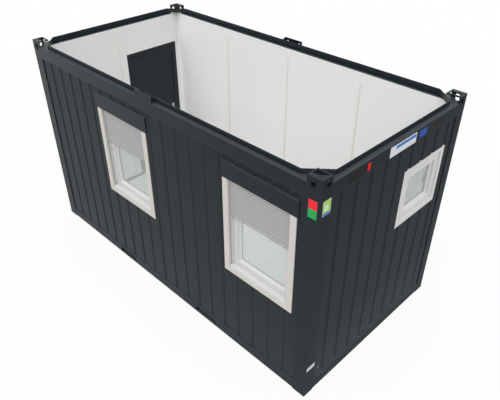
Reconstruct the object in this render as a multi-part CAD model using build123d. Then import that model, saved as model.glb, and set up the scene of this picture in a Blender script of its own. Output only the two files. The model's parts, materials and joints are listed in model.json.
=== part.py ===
"""Portable site cabin, 16 ft long, standing without its roof.

A welded steel frame of corner castings, posts, bottom and top rails carries
ribbed sandwich walls with a white board lining.  Two windows with roller
shutters are in the front wall, one small window in the right end wall and the
door in the left end wall.

Row frame: origin on the ground under the middle of the cabin, +X along its
length towards the small window, -Y towards the front wall, +Z up, in mm.
Every wall piece is first made in wall coordinates: X runs along the wall,
Y is the depth behind the outer plane of the cabin and Z is the height.
"""
from build123d import *
from math import copysign, hypot
import os

# ---------------------------------------------------------------- the cabin
LENGTH = 4885.0             # outer length along X
WIDTH = 2435.0              # outer width along Y
HEIGHT = 2800.0             # from the ground to the top of the castings

# corner castings and posts
POST_LONG = 168.0           # face of a post on the long sides
POST_SHORT = 142.0          # face of a post on the end sides
CASTING_HEIGHT = 118.0
CASTING_WALL = 16.0
CASTING_TOP = 14.0          # thickness of the plate with the long aperture
APERTURE_LENGTH = 126.0     # aperture in the top and bottom plates, along X
APERTURE_WIDTH = 67.0
APERTURE_RADIUS = 4.0
APERTURE_INSETS = (91.0, 89.5)      # its centre from the corner, along X and Y
SIDE_HOLE_WIDTH = 56.0      # upright oval hole in each outer face, top castings
SIDE_HOLE_HEIGHT = 85.0
SIDE_HOLE_INSETS = (94.0, 89.0)     # its centre from the corner, along X and Y
SIDE_HOLE_RISE = 47.0       # its centre above the underside of the casting
POST_CORNER_RADIUS = 6.0

# bottom frame
GROUND_GAP = 12.0           # rails stand this far above the castings' feet
SIDE_RAIL_TOP = 120.0
END_RAIL_TOP = 132.0
RAIL_STEEL = 5.0
POCKET_CENTRE = 830.0       # fork pockets, from the middle of the cabin
POCKET_WIDTH = 370.0
POCKET_BOTTOM = 17.0
POCKET_TOP = 107.0
POCKET_STEEL = 4.0
JOIST_HEIGHT = 100.0
JOIST_FLANGE = 50.0
JOIST_STEEL = 3.0
JOIST_PITCH = 390.0
JOIST_POCKET_GAP = 50.0     # from a fork pocket to the next joist's web
SUBFLOOR_SHEET = 2.0
FLOOR_DECK = 22.0
FLOOR_LEVEL = 150.0

# top frame
LEDGE_DROP = 76.0           # from the top of the castings to the ledge
FASCIA_HEIGHT = 144.0
UPSTAND_HEIGHT = 56.0
WALL_DROP = 27.0            # walls and linings end under the inner flange
LEDGE_DEPTH = 57.0
TOP_STEEL = 4.0
UPSTAND_END_LONG = 282.0    # where the upstand turns off, from a corner along X
UPSTAND_END_SHORT = 260.0   # and along Y
INNER_FLANGE_END = 208.0    # the inner flange runs on to here, from a corner
BRACKET_LENGTH = 290.0      # lifting bracket in the middle of each long rail
BRACKET_PLATE = 8.0
BRACKET_CHEEK = 6.0
BRACKET_HOLE_RADIUS = 11.0
BRACKET_HOLE_SPACING = 194.0
BRACKET_HOLE_RISE = 37.0

# walls
PANEL_FLAT = 10.0           # depth of the sheet's flats behind the outer plane
RIB_DEPTH = 14.0
RIB_PITCH = 231.8
RIB_MOUTH = 50.0
RIB_BOTTOM = 26.0
FRONT_RIB_SHIFT = 36.0      # the pattern's middle from the wall's middle
END_RIB_SHIFT = 4.0
RIB_STOP = 38.0             # grooves end this far above the bottom rail
RIB_STOP_SLOPE = 12.0       # height of a groove's sloping end
PANEL_BACK = 85.5           # depth of the sandwich's flat back
LINING = 12.0
STRIP_WIDTH = 28.0
STRIP_THICKNESS = 2.0
STRIP_DROP = 20.0           # from the fascia's lower edge to a strip's end
SKIRTING_HEIGHT = 40.0
SKIRTING_THICKNESS = 18.0
BOARD_JOINT = 1.0

# windows with roller shutters
SHUTTER_WINDOW_WIDTH = 970.0
SHUTTER_WINDOW_HEIGHT = 1195.0
FIRST_WINDOW_OFFSET = 527.0     # its middle, left of the cabin's middle
SECOND_WINDOW_GAP = 79.5        # from its edge to the post
GUIDE_WIDTH = 75.0
GUIDE_SLOT_FRONT = 26.5     # the curtain's slot lies between this depth
GUIDE_DEPTH = 35.5          # and the window frame behind it
GUIDE_SLOT_REACH = 20.0
SILL_FACE = 54.0
SILL_FALL = 4.0
SILL_LIP = 10.0
SILL_FROM_SASH = 2.0        # the white sill's top below the sash
SHUTTER_DEPTH = 31.0        # middle of the curtain behind the outer plane
SHUTTER_THICKNESS = 8.0
SHUTTER_ENTRY = 15.0        # the curtain's edge inside the guide
SHUTTER_DROP = 437.0        # how far the curtain is let down
SLAT_PITCH = 38.5
SLAT_BULGE = 4.5
BOTTOM_BAR = 45.0
BOX_WIDTH = 1008.0
BOX_HEIGHT = 189.0
BOX_DROP = 85.0             # from the fascia's lower edge to the box
BOX_EDGE_RADIUS = 4.0
FRAME_MARGIN = 88.0         # sash edge from the window's outer edge
FRAME_OVERLAP = 8.0
SASH_FACE = 62.0
SASH_STEP = 72.0            # depth where the glazing bead begins
SASH_WIDTH = 63.0
SASH_BEAD = 24.0
GLASS_DEPTH = 92.0
GLASS = 8.0
FRAME_BACK = 102.0
SASH_BACK = 112.0

# small window in the right end wall
END_WINDOW_WIDTH = 800.0
END_WINDOW_HEIGHT = 721.0
END_WINDOW_GAP = 111.0      # from its edge to the post
END_WINDOW_DROP = 305.0     # from the fascia's lower edge to its top
END_FRAME_MARGIN = 55.0
END_SASH_FACE = 24.0
END_SASH_STEP = 44.0
END_SASH_WIDTH = 83.0
END_SASH_BEAD = 30.0
END_GLASS_DEPTH = 60.0
END_SASH_BACK = 88.0

# door in the left end wall
DOOR_FROM_CORNER = 76.0     # from the room's back corner to the doorway
DOOR_LINING_WIDTH = 924.0
DOOR_LINING_DROP = 319.0    # from the fascia's lower edge to the doorway's top
DOOR_STOP = 21.0            # how far the stop overlaps the leaf
DOOR_HINGE_REBATE = 24.0    # from the lining's edge to the hinge jamb
DOOR_LATCH_REBATE = 60.0    # the same at the wider latch jamb
DOOR_HEAD_REBATE = 24.0
DOOR_STOP_DEPTH = 88.0
DOOR_FRAME_FACE = 4.0
DOOR_HINGE_JAMB = 56.0      # width of the hinge jamb's outer face
DOOR_HEAD = 53.0
DOOR_GAP = 7.0
DOOR_FACE = 45.0            # depth of the leaf's outer face
DOOR_THICKNESS = 37.0
LEAF_EDGE_RADIUS = 3.0
HINGE_PIN_DEPTH = 36.0
HINGE_PIN_INSET = 2.0       # pin axis from the leaf's hinge edge
HINGE_RADIUS = 8.0
HINGE_PIN_RADIUS = 4.0
HINGE_PIN_CLEARANCE = 0.1
HINGE_KNUCKLE = 48.0
HINGE_SPLIT = 0.4           # running gap between the two knuckles
HINGE_WEB = 6.0
HINGE_END_DISTANCE = 200.0
LEVER_BACKSET = 62.0
LEVER_RISE = 1000.0         # above the floor
LEVER_LENGTH = 120.0
LEVER_HEIGHT = 18.0
LEVER_THICKNESS = 11.0
LEVER_REACH = 40.0          # from the leaf's face to the outside of the grip
LEVER_NECK_RADIUS = 8.0
SPINDLE_RADIUS = 5.0
SPINDLE_CLEARANCE = 0.1
LOCK_PLATE_WIDTH = 42.0
LOCK_PLATE_HEIGHT = 180.0
LOCK_PLATE_THICKNESS = 5.0
LOCK_PLATE_BORE = 9.0

# round cap low on the right end wall
CAP_RADIUS = 20.0
CAP_FROM_CORNER = 211.5
CAP_LEVEL = 309.0

# ---------------------------------------------------------------- worked out
SIDE_HALF = LENGTH / 2 - POST_LONG      # half the clear run between posts
END_HALF = WIDTH / 2 - POST_SHORT
ROOM_DEPTH = PANEL_BACK + LINING        # depth of the room's inner faces
DECK_UNDERSIDE = FLOOR_LEVEL - FLOOR_DECK
SHEET_UNDERSIDE = DECK_UNDERSIDE - SUBFLOOR_SHEET
POST_TOP = HEIGHT - CASTING_HEIGHT
LEDGE_LEVEL = HEIGHT - LEDGE_DROP
UPSTAND_TOP = LEDGE_LEVEL + UPSTAND_HEIGHT
TOP_RAIL_BOTTOM = LEDGE_LEVEL - FASCIA_HEIGHT
WALL_TOP = LEDGE_LEVEL - WALL_DROP
STRIP_TOP = TOP_RAIL_BOTTOM - STRIP_DROP
SHUTTER_WINDOW_CENTRES = (-FIRST_WINDOW_OFFSET,
                          SIDE_HALF - SECOND_WINDOW_GAP - SHUTTER_WINDOW_WIDTH / 2)
SHUTTER_WINDOW_TOP = TOP_RAIL_BOTTOM - BOX_DROP - BOX_HEIGHT
SHUTTER_WINDOW_BOTTOM = SHUTTER_WINDOW_TOP - SHUTTER_WINDOW_HEIGHT
SHUTTER_BOTTOM = SHUTTER_WINDOW_TOP - SHUTTER_DROP
END_WINDOW_CENTRE = END_HALF - END_WINDOW_GAP - END_WINDOW_WIDTH / 2
END_WINDOW_TOP = TOP_RAIL_BOTTOM - END_WINDOW_DROP
END_WINDOW_BOTTOM = END_WINDOW_TOP - END_WINDOW_HEIGHT
DOOR_LINING_TOP = TOP_RAIL_BOTTOM - DOOR_LINING_DROP

FRONT = Location((0, -WIDTH / 2, 0), (0, 0, 0))
RIGHT = Location((LENGTH / 2, 0, 0), (0, 0, 90))
BACK = Location((0, WIDTH / 2, 0), (0, 0, 180))
LEFT = Location((-LENGTH / 2, 0, 0), (0, 0, -90))


# ---------------------------------------------------------------- helpers
def block(x0, x1, y0, y1, z0, z1):
    """A box from its two corners."""
    return Pos((x0 + x1) / 2, (y0 + y1) / 2, (z0 + z1) / 2) * Box(x1 - x0, y1 - y0, z1 - z0)


def run_x(points, x0, x1):
    """A section of (y, z) points pulled along X."""
    face = Plane.YZ * make_face(Polyline(*points, close=True))
    return Pos(x0, 0, 0) * extrude(face, amount=x1 - x0)


def rise_z(points, z0, z1):
    """A plan of (x, y) points raised from z0 to z1."""
    return Pos(0, 0, z0) * extrude(make_face(Polyline(*points, close=True)), amount=z1 - z0)


def folded(points, steel):
    """The outline of a folded sheet: a path and its offset to the left."""
    count = len(points)
    normals = []
    for (ax, ay), (bx, by) in zip(points, points[1:]):
        run = hypot(bx - ax, by - ay)
        normals.append((-(by - ay) / run, (bx - ax) / run))
    inner = []
    for i, (px, py) in enumerate(points):
        before = normals[max(i - 1, 0)]
        after = normals[min(i, count - 2)]
        scale = steel / (1 + before[0] * after[0] + before[1] * after[1])
        inner.append((px + (before[0] + after[0]) * scale, py + (before[1] + after[1]) * scale))
    return list(points) + inner[::-1]


def at_corners(shape):
    """The four mirror copies of a piece made for the +X +Y corner."""
    right = [shape, mirror(shape, Plane.XZ)]
    return right + [mirror(piece, Plane.YZ) for piece in right]


def corner_plan(points, z0, z1):
    """A plan given as distances inward from the +X +Y corner."""
    return rise_z([(LENGTH / 2 - u, WIDTH / 2 - v) for u, v in points], z0, z1)


def ring(middle, width, bottom, top, margin, reach, front, back):
    """A rectangular frame: from margin to reach inside a window's outer edge."""
    half = width / 2
    outer = block(middle - half + margin, middle + half - margin, front, back,
                  bottom + margin, top - margin)
    hole = block(middle - half + reach, middle + half - reach, front - 1, back + 1,
                 bottom + reach, top - reach)
    return outer - hole


def window_plan(middle, width, bottom, top, margin, depth):
    """The rectangle a margin inside a window's edge, at a depth in the wall."""
    plane = Plane(origin=(middle, depth, (bottom + top) / 2), x_dir=(1, 0, 0), z_dir=(0, 1, 0))
    return plane * Rectangle(width - 2 * margin, top - bottom - 2 * margin)


def bevelled_sash(middle, width, bottom, top, margin, wide, bead, depths):
    """A sash that steps back from its face and then slopes to the glass."""
    face, step, glass, back = depths
    spot = (middle, width, bottom, top)
    reach = margin + wide + bead
    body = ring(*spot, margin, reach, face, back)
    opening = extrude(window_plan(*spot, margin + wide, face), amount=step - face)
    slope = loft([window_plan(*spot, margin + wide, step), window_plan(*spot, reach, glass)])
    return body - opening - slope


def export(name, shapes, place=None):
    """Write one node; its solids keep apart as a compound."""
    solids = [solid for shape in shapes for solid in shape.solids()]
    if place is not None:
        solids = [place * solid for solid in solids]
    whole = solids[0] if len(solids) == 1 else Compound(children=solids)
    export_step(whole, f"parts/{name}.step")


# ---------------------------------------------------------------- frame
def aperture(z0, z1):
    """The long hole of a casting's plate at the +X +Y corner."""
    centre = Pos(LENGTH / 2 - APERTURE_INSETS[0], WIDTH / 2 - APERTURE_INSETS[1], z0)
    slot = RectangleRounded(APERTURE_LENGTH, APERTURE_WIDTH, APERTURE_RADIUS)
    return centre * extrude(slot, amount=z1 - z0)


def casting_shell(z0, z1, plate_low):
    """Two outer walls and one plate; the inner sides stay open."""
    plate_high = plate_low + CASTING_TOP
    walls = corner_plan([(0, 0), (POST_LONG, 0), (POST_LONG, CASTING_WALL),
                         (CASTING_WALL, CASTING_WALL), (CASTING_WALL, POST_SHORT),
                         (0, POST_SHORT)], z0, z1)
    plate = corner_plan([(0, 0), (POST_LONG, 0), (POST_LONG, POST_SHORT), (0, POST_SHORT)],
                        plate_low, plate_high)
    upright = (walls + plate).edges().filter_by(Axis.Z).sort_by_distance(
        (LENGTH / 2, WIDTH / 2, (z0 + z1) / 2))[0]
    return fillet(upright, POST_CORNER_RADIUS) - aperture(plate_low - 1, plate_high + 1)


def top_castings():
    """Hollow castings with an oval hole in each outer face."""
    shell = casting_shell(POST_TOP, HEIGHT, HEIGHT - CASTING_TOP)
    level = POST_TOP + SIDE_HOLE_RISE
    slot = SlotOverall(SIDE_HOLE_HEIGHT, SIDE_HOLE_WIDTH, rotation=90)
    long_side = Plane(origin=(LENGTH / 2 - SIDE_HOLE_INSETS[0], WIDTH / 2 - 2 * CASTING_WALL, level),
                      x_dir=(1, 0, 0), z_dir=(0, 1, 0))
    end_side = Plane(origin=(LENGTH / 2 - 2 * CASTING_WALL, WIDTH / 2 - SIDE_HOLE_INSETS[1], level),
                     x_dir=(0, 1, 0), z_dir=(1, 0, 0))
    for plane in (long_side, end_side):
        shell -= extrude(plane * slot, amount=3 * CASTING_WALL)
    export("top_castings", at_corners(shell))


def bottom_castings():
    """Feet of the frame: closed outer walls and a plate with an aperture."""
    export("bottom_castings", at_corners(casting_shell(0, CASTING_HEIGHT, 0)))


def corner_posts():
    """Angle posts that run from casting to casting and close the wall's corner."""
    plan = [(0, 0), (POST_LONG, 0), (POST_LONG, PANEL_BACK), (PANEL_BACK, PANEL_BACK),
            (PANEL_BACK, POST_SHORT), (0, POST_SHORT)]
    post = corner_plan(plan, CASTING_HEIGHT, POST_TOP)
    upright = post.edges().filter_by(Axis.Z).sort_by_distance(
        (LENGTH / 2, WIDTH / 2, HEIGHT / 2))[0]
    export("corner_posts", at_corners(fillet(upright, POST_CORNER_RADIUS)))


def bottom_rail(half, top):
    """A channel with its flanges turned inward."""
    path = [(PANEL_BACK, GROUND_GAP), (0, GROUND_GAP), (0, top), (PANEL_BACK, top)]
    return run_x(folded(path[::-1], RAIL_STEEL), -half, half)


def bottom_rails():
    """Two side rails with fork pockets through their webs, and two end rails."""
    side = bottom_rail(SIDE_HALF, SIDE_RAIL_TOP)
    for centre in (-POCKET_CENTRE, POCKET_CENTRE):
        side -= block(centre - POCKET_WIDTH / 2, centre + POCKET_WIDTH / 2,
                      -1, RAIL_STEEL + 1, POCKET_BOTTOM, POCKET_TOP)
    export("side_rails", [FRONT * side, BACK * side])
    end = bottom_rail(END_HALF, END_RAIL_TOP)
    export("end_rails", [RIGHT * end, LEFT * end])


def fork_pockets():
    """Square tubes from side to side that a fork-lift's tines go into."""
    tubes = []
    for centre in (-POCKET_CENTRE, POCKET_CENTRE):
        x0, x1 = centre - POCKET_WIDTH / 2, centre + POCKET_WIDTH / 2
        tube = block(x0, x1, -WIDTH / 2, WIDTH / 2, POCKET_BOTTOM, POCKET_TOP)
        tubes.append(tube - block(x0 + POCKET_STEEL, x1 - POCKET_STEEL, -WIDTH, WIDTH,
                                  POCKET_BOTTOM + POCKET_STEEL, POCKET_TOP - POCKET_STEEL))
    export("fork_pockets", tubes)


def joist_places():
    """Joists step outward from the middle and leave the fork pockets free."""
    inner_edge = POCKET_CENTRE - POCKET_WIDTH / 2 - JOIST_POCKET_GAP
    outer_edge = POCKET_CENTRE + POCKET_WIDTH / 2 + JOIST_POCKET_GAP
    steps = max(1, round(inner_edge / JOIST_PITCH))
    places = [inner_edge * i / steps for i in range(steps + 1)]
    place = outer_edge
    while place < SIDE_HALF - JOIST_FLANGE / 2:
        places.append(place)
        place += JOIST_PITCH
    return sorted({sign * place for place in places for sign in (-1, 1)})


def floor_frame():
    """Joists between the side rails, the steel sheet on them and the deck."""
    top = SHEET_UNDERSIDE
    reach = WIDTH / 2 - PANEL_BACK
    half = JOIST_FLANGE / 2
    channel = folded([(half, top), (-half, top), (-half, top - JOIST_HEIGHT),
                      (half, top - JOIST_HEIGHT)], JOIST_STEEL)
    turned = Rot(0, 0, 90) * run_x(channel, -reach, reach)
    joists = [Pos(place, 0, 0) * turned for place in joist_places()]
    room_x, room_y = LENGTH / 2 - PANEL_BACK, WIDTH / 2 - PANEL_BACK
    sheet = block(-room_x, room_x, -room_y, room_y, top, DECK_UNDERSIDE)
    export("floor_frame", joists + [sheet])
    export("floor_deck", [block(-room_x, room_x, -room_y, room_y, DECK_UNDERSIDE, FLOOR_LEVEL)])


def top_rail(half, turn_off, post_face):
    """Fascia, ledge, upstand and inner flange of one side of the top frame."""
    fascia = folded([(PANEL_FLAT, TOP_RAIL_BOTTOM), (0, TOP_RAIL_BOTTOM), (0, LEDGE_LEVEL),
                     (LEDGE_DEPTH + TOP_STEEL, LEDGE_LEVEL)][::-1], TOP_STEEL)
    inner = folded([(LEDGE_DEPTH, LEDGE_LEVEL), (LEDGE_DEPTH, WALL_TOP), (ROOM_DEPTH, WALL_TOP)],
                   TOP_STEEL)
    straight = half + post_face - turn_off
    flange = half + post_face - INNER_FLANGE_END
    upstand = block(-straight, straight, LEDGE_DEPTH, LEDGE_DEPTH + TOP_STEEL,
                    LEDGE_LEVEL - TOP_STEEL, UPSTAND_TOP)
    return run_x(fascia, -half, half) + upstand + run_x(inner, -flange, flange)


def top_rails():
    """The four sides of the top frame."""
    side = top_rail(SIDE_HALF, UPSTAND_END_LONG, POST_LONG)
    end = top_rail(END_HALF, UPSTAND_END_SHORT, POST_SHORT)
    export("top_rails", [FRONT * side, BACK * side, RIGHT * end, LEFT * end])


def corner_gussets():
    """Ledge plates behind the castings, with the upstand crossing each corner."""
    inner = LEDGE_DEPTH + TOP_STEEL
    long_end, short_end = (UPSTAND_END_LONG, inner), (inner, UPSTAND_END_SHORT)
    plate = corner_plan([(POST_LONG, inner), long_end, short_end, (inner, POST_SHORT),
                         (POST_LONG, POST_SHORT)], LEDGE_LEVEL - TOP_STEEL, LEDGE_LEVEL)
    crossing = corner_plan(folded([long_end, short_end], TOP_STEEL), LEDGE_LEVEL, UPSTAND_TOP)
    keep = corner_plan([(inner, inner), (LENGTH / 4, inner), (LENGTH / 4, WIDTH / 4),
                        (inner, WIDTH / 4)], 0, HEIGHT)
    export("corner_gussets", at_corners(plate) + at_corners(crossing & keep))


def lifting_brackets():
    """Upright plates with two bolt holes and a cheek at each end."""
    half = BRACKET_LENGTH / 2
    plate = block(-half, half, 0, BRACKET_PLATE, LEDGE_LEVEL, HEIGHT)
    for side in (-1, 1):
        hole = Pos(side * BRACKET_HOLE_SPACING / 2, -1, LEDGE_LEVEL + BRACKET_HOLE_RISE)
        plate -= hole * Rot(-90, 0, 0) * Cylinder(BRACKET_HOLE_RADIUS, BRACKET_PLATE + 2,
                                                 align=(Align.CENTER, Align.CENTER, Align.MIN))
        edge = side * half
        inside = edge - side * BRACKET_CHEEK
        cheek = run_x([(0, LEDGE_LEVEL), (LEDGE_DEPTH, LEDGE_LEVEL), (LEDGE_DEPTH, UPSTAND_TOP),
                       (BRACKET_PLATE, HEIGHT), (0, HEIGHT)], min(edge, inside), max(edge, inside))
        plate += cheek
    export("lifting_brackets", [FRONT * plate, BACK * plate])


# ---------------------------------------------------------------- walls
def rib_places(start, stop, shift):
    """Centres of the grooves that fit whole between two edges."""
    reach = int((stop - start) / RIB_PITCH) + 2
    centres = [shift + i * RIB_PITCH for i in range(-reach, reach + 1)]
    edge = RIB_MOUTH / 2
    return [c for c in centres if start + edge < c < stop - edge]


def groove_end(centre, low):
    """The filled foot of a groove, sloping back from the flats to its bottom."""
    mouth, bottom, deep = RIB_MOUTH / 2, RIB_BOTTOM / 2, PANEL_FLAT + RIB_DEPTH
    filling = rise_z([(centre - mouth, PANEL_FLAT), (centre - bottom, deep),
                      (centre + bottom, deep), (centre + mouth, PANEL_FLAT)],
                     low, low + RIB_STOP)
    slope = run_x([(PANEL_FLAT, low + RIB_STOP - RIB_STOP_SLOPE), (deep, low + RIB_STOP),
                   (PANEL_FLAT, low + RIB_STOP)], centre - mouth, centre + mouth)
    return filling - slope


def ribbed_panel(start, stop, bottom, top, shift, foot=True):
    """A sandwich wall: ribbed sheet outside and a flat back behind the lining."""
    plan = [(start, PANEL_BACK), (start, PANEL_FLAT)]
    centres = rib_places(start, stop, shift)
    for centre in centres:
        plan += [(centre - RIB_MOUTH / 2, PANEL_FLAT),
                 (centre - RIB_BOTTOM / 2, PANEL_FLAT + RIB_DEPTH),
                 (centre + RIB_BOTTOM / 2, PANEL_FLAT + RIB_DEPTH),
                 (centre + RIB_MOUTH / 2, PANEL_FLAT)]
    plan += [(stop, PANEL_FLAT), (stop, PANEL_BACK)]
    panel = rise_z(plan, bottom, top)
    if foot:
        for centre in centres:
            panel += groove_end(centre, bottom)
    return panel


def through_wall(x0, x1, z0, z1):
    """A cutter that goes through a whole wall."""
    return block(x0, x1, -1, ROOM_DEPTH + 1, z0, z1)


def shutter_window_hole(middle, with_box):
    """The hole for a shuttered window, with its shutter box or without."""
    half = SHUTTER_WINDOW_WIDTH / 2
    hole = through_wall(middle - half, middle + half, SHUTTER_WINDOW_BOTTOM, SHUTTER_WINDOW_TOP)
    if with_box:
        hole += through_wall(middle - BOX_WIDTH / 2, middle + BOX_WIDTH / 2,
                             SHUTTER_WINDOW_TOP, SHUTTER_WINDOW_TOP + BOX_HEIGHT)
    return hole


def end_window_hole(margin):
    """The hole for the small window, a margin smaller on each side."""
    half = END_WINDOW_WIDTH / 2 - margin
    return through_wall(END_WINDOW_CENTRE - half, END_WINDOW_CENTRE + half,
                        END_WINDOW_BOTTOM + margin, END_WINDOW_TOP - margin)


# the doorway along the left wall, where wall X runs towards the front wall
DOOR_LATCH_EDGE = -(WIDTH / 2 - ROOM_DEPTH - DOOR_FROM_CORNER)
DOOR_HINGE_EDGE = DOOR_LATCH_EDGE + DOOR_LINING_WIDTH
JAMB_HINGE_FACE = DOOR_HINGE_EDGE - DOOR_HINGE_REBATE       # jamb beside the leaf
JAMB_LATCH_FACE = DOOR_LATCH_EDGE + DOOR_LATCH_REBATE
HINGE_JAMB_OUTER = JAMB_HINGE_FACE + DOOR_HINGE_JAMB
HEAD_FACE = DOOR_LINING_TOP - DOOR_HEAD_REBATE
HEAD_TOP = HEAD_FACE + DOOR_HEAD
LEAF_HINGE = JAMB_HINGE_FACE - DOOR_GAP
LEAF_LATCH = JAMB_LATCH_FACE + DOOR_GAP
LEAF_BOTTOM = FLOOR_LEVEL + DOOR_GAP
LEAF_TOP = HEAD_FACE - DOOR_GAP


def wall_panels():
    """The sandwich walls with their window holes and the doorway."""
    front = ribbed_panel(-SIDE_HALF, SIDE_HALF, SIDE_RAIL_TOP, WALL_TOP, FRONT_RIB_SHIFT)
    for middle in SHUTTER_WINDOW_CENTRES:
        front -= shutter_window_hole(middle, True)
    export("front_wall", [front], FRONT)
    back = ribbed_panel(-SIDE_HALF, SIDE_HALF, SIDE_RAIL_TOP, WALL_TOP, FRONT_RIB_SHIFT)
    export("back_wall", [back], BACK)
    right = ribbed_panel(-END_HALF, END_HALF, END_RAIL_TOP, WALL_TOP, END_RIB_SHIFT)
    export("right_wall", [right - end_window_hole(0)], RIGHT)
    beside = ribbed_panel(HINGE_JAMB_OUTER, END_HALF, END_RAIL_TOP, WALL_TOP, END_RIB_SHIFT)
    over = ribbed_panel(-END_HALF, HINGE_JAMB_OUTER - BOARD_JOINT, HEAD_TOP, WALL_TOP,
                        END_RIB_SHIFT, foot=False)
    export("left_wall", [beside, over], LEFT)


def lining_board(start, stop, bottom=FLOOR_LEVEL, top=WALL_TOP):
    """A flat board on a sandwich wall's back."""
    return block(start, stop, PANEL_BACK, ROOM_DEPTH, bottom, top)


def linings():
    """White boards inside; the long ones run into the corners."""
    long_half = LENGTH / 2 - PANEL_BACK
    end_half = WIDTH / 2 - ROOM_DEPTH
    front = lining_board(-long_half, long_half)
    for middle in SHUTTER_WINDOW_CENTRES:
        half = SHUTTER_WINDOW_WIDTH / 2 - FRAME_OVERLAP
        front -= through_wall(middle - half, middle + half, SHUTTER_WINDOW_BOTTOM + FRAME_OVERLAP,
                              SHUTTER_WINDOW_TOP - FRAME_OVERLAP)
    export("front_lining", [front], FRONT)
    export("back_lining", [lining_board(-long_half, long_half)], BACK)
    right = lining_board(-end_half, end_half) - end_window_hole(0)
    export("right_lining", [right], RIGHT)
    boards = [lining_board(DOOR_HINGE_EDGE, end_half),
              lining_board(-end_half, DOOR_HINGE_EDGE - BOARD_JOINT, bottom=DOOR_LINING_TOP),
              lining_board(-end_half, DOOR_LATCH_EDGE, top=DOOR_LINING_TOP - BOARD_JOINT)]
    export("left_lining", boards, LEFT)


def joint_strip(place):
    """A thin strip over the joint of two lining boards."""
    return block(place - STRIP_WIDTH / 2, place + STRIP_WIDTH / 2, ROOM_DEPTH,
                 ROOM_DEPTH + STRIP_THICKNESS, FLOOR_LEVEL + SKIRTING_HEIGHT, STRIP_TOP)


def trims():
    """Joint strips over the board joints, and the skirting round the floor."""
    quarter = (LENGTH / 2 - ROOM_DEPTH) / 2
    strips = [BACK * joint_strip(place) for place in (-quarter, 0, quarter)]
    front_joints = [place for place in (-quarter, quarter)
                    if all(abs(place - middle) > SHUTTER_WINDOW_WIDTH / 2 + STRIP_WIDTH
                           for middle in SHUTTER_WINDOW_CENTRES)]
    strips += [FRONT * joint_strip(place) for place in front_joints]
    strips += [LEFT * joint_strip(0), RIGHT * joint_strip(0)]
    export("joint_strips", strips)

    def board(start, stop):
        return block(start, stop, ROOM_DEPTH, ROOM_DEPTH + SKIRTING_THICKNESS, FLOOR_LEVEL,
                     FLOOR_LEVEL + SKIRTING_HEIGHT)

    long_half = LENGTH / 2 - ROOM_DEPTH
    end_half = WIDTH / 2 - ROOM_DEPTH - SKIRTING_THICKNESS - BOARD_JOINT
    boards = [FRONT * board(-long_half, long_half), BACK * board(-long_half, long_half),
              RIGHT * board(-end_half, end_half), LEFT * board(DOOR_HINGE_EDGE, end_half),
              LEFT * board(-end_half, DOOR_LATCH_EDGE)]
    export("skirting", boards)


def corner_linings():
    """Linings carried up under the gusset plates, past the ends of the flanges."""
    plan = [(PANEL_BACK, PANEL_BACK), (INNER_FLANGE_END, PANEL_BACK),
            (INNER_FLANGE_END, ROOM_DEPTH), (ROOM_DEPTH, ROOM_DEPTH),
            (ROOM_DEPTH, INNER_FLANGE_END), (PANEL_BACK, INNER_FLANGE_END)]
    export("corner_linings", at_corners(corner_plan(plan, WALL_TOP, LEDGE_LEVEL - TOP_STEEL)))


# ---------------------------------------------------------------- windows
def shutter_surround(middle):
    """Guides that hold the curtain against the frame, joined by a sill's front."""
    half = SHUTTER_WINDOW_WIDTH / 2
    bottom, top = SHUTTER_WINDOW_BOTTOM, SHUTTER_WINDOW_TOP
    inner, floor = half - GUIDE_WIDTH, half - GUIDE_WIDTH + GUIDE_SLOT_REACH
    plan = [(half, 0), (inner, 0), (inner, GUIDE_SLOT_FRONT), (floor, GUIDE_SLOT_FRONT),
            (floor, GUIDE_DEPTH), (half, GUIDE_DEPTH)]
    sill = run_x([(0, bottom), (0, bottom + SILL_FACE), (SILL_LIP, bottom + SILL_FACE
                 + SILL_FALL), (SILL_LIP, bottom)], middle - half, middle + half)
    surround = sill
    for side in (-1, 1):
        surround += rise_z([(middle + side * x, y) for x, y in plan], bottom, top)
    return surround


def shutter_window_frame(middle, spot):
    """The frame behind the curtain, with a sill that comes forward between the guides."""
    frame = ring(*spot, FRAME_OVERLAP, FRAME_MARGIN, GUIDE_DEPTH, FRAME_BACK)
    half = SHUTTER_WINDOW_WIDTH / 2 - GUIDE_WIDTH
    bottom = SHUTTER_WINDOW_BOTTOM
    level = bottom + FRAME_MARGIN - SILL_FROM_SASH
    return frame + run_x([(SILL_LIP, bottom + FRAME_OVERLAP), (SILL_LIP, level - SILL_FALL),
                          (GUIDE_DEPTH, level), (GUIDE_DEPTH, bottom + FRAME_OVERLAP)],
                         middle - half, middle + half)


def shutter_curtain(middle):
    """Interlocked curved slats above a straight bottom bar."""
    half = SHUTTER_WINDOW_WIDTH / 2 - GUIDE_WIDTH + SHUTTER_ENTRY
    front = SHUTTER_DEPTH - SHUTTER_THICKNESS / 2
    back = SHUTTER_DEPTH + SHUTTER_THICKNESS / 2
    valley = front + SLAT_BULGE
    slats_from = SHUTTER_BOTTOM + BOTTOM_BAR
    count = max(1, round((SHUTTER_WINDOW_TOP - slats_from) / SLAT_PITCH))
    pitch = (SHUTTER_WINDOW_TOP - slats_from) / count
    edges = [Line((back, SHUTTER_WINDOW_TOP), (back, SHUTTER_BOTTOM)),
             Line((back, SHUTTER_BOTTOM), (front, SHUTTER_BOTTOM)),
             Line((front, SHUTTER_BOTTOM), (front, slats_from)),
             Line((front, slats_from), (valley, slats_from))]
    for i in range(count):
        low = slats_from + i * pitch
        edges.append(ThreePointArc((valley, low), (front, low + pitch / 2), (valley, low + pitch)))
    edges.append(Line((valley, SHUTTER_WINDOW_TOP), (back, SHUTTER_WINDOW_TOP)))
    section = Plane.YZ * make_face(Wire(edges))
    return Pos(middle - half, 0, 0) * extrude(section, amount=2 * half)


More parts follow.
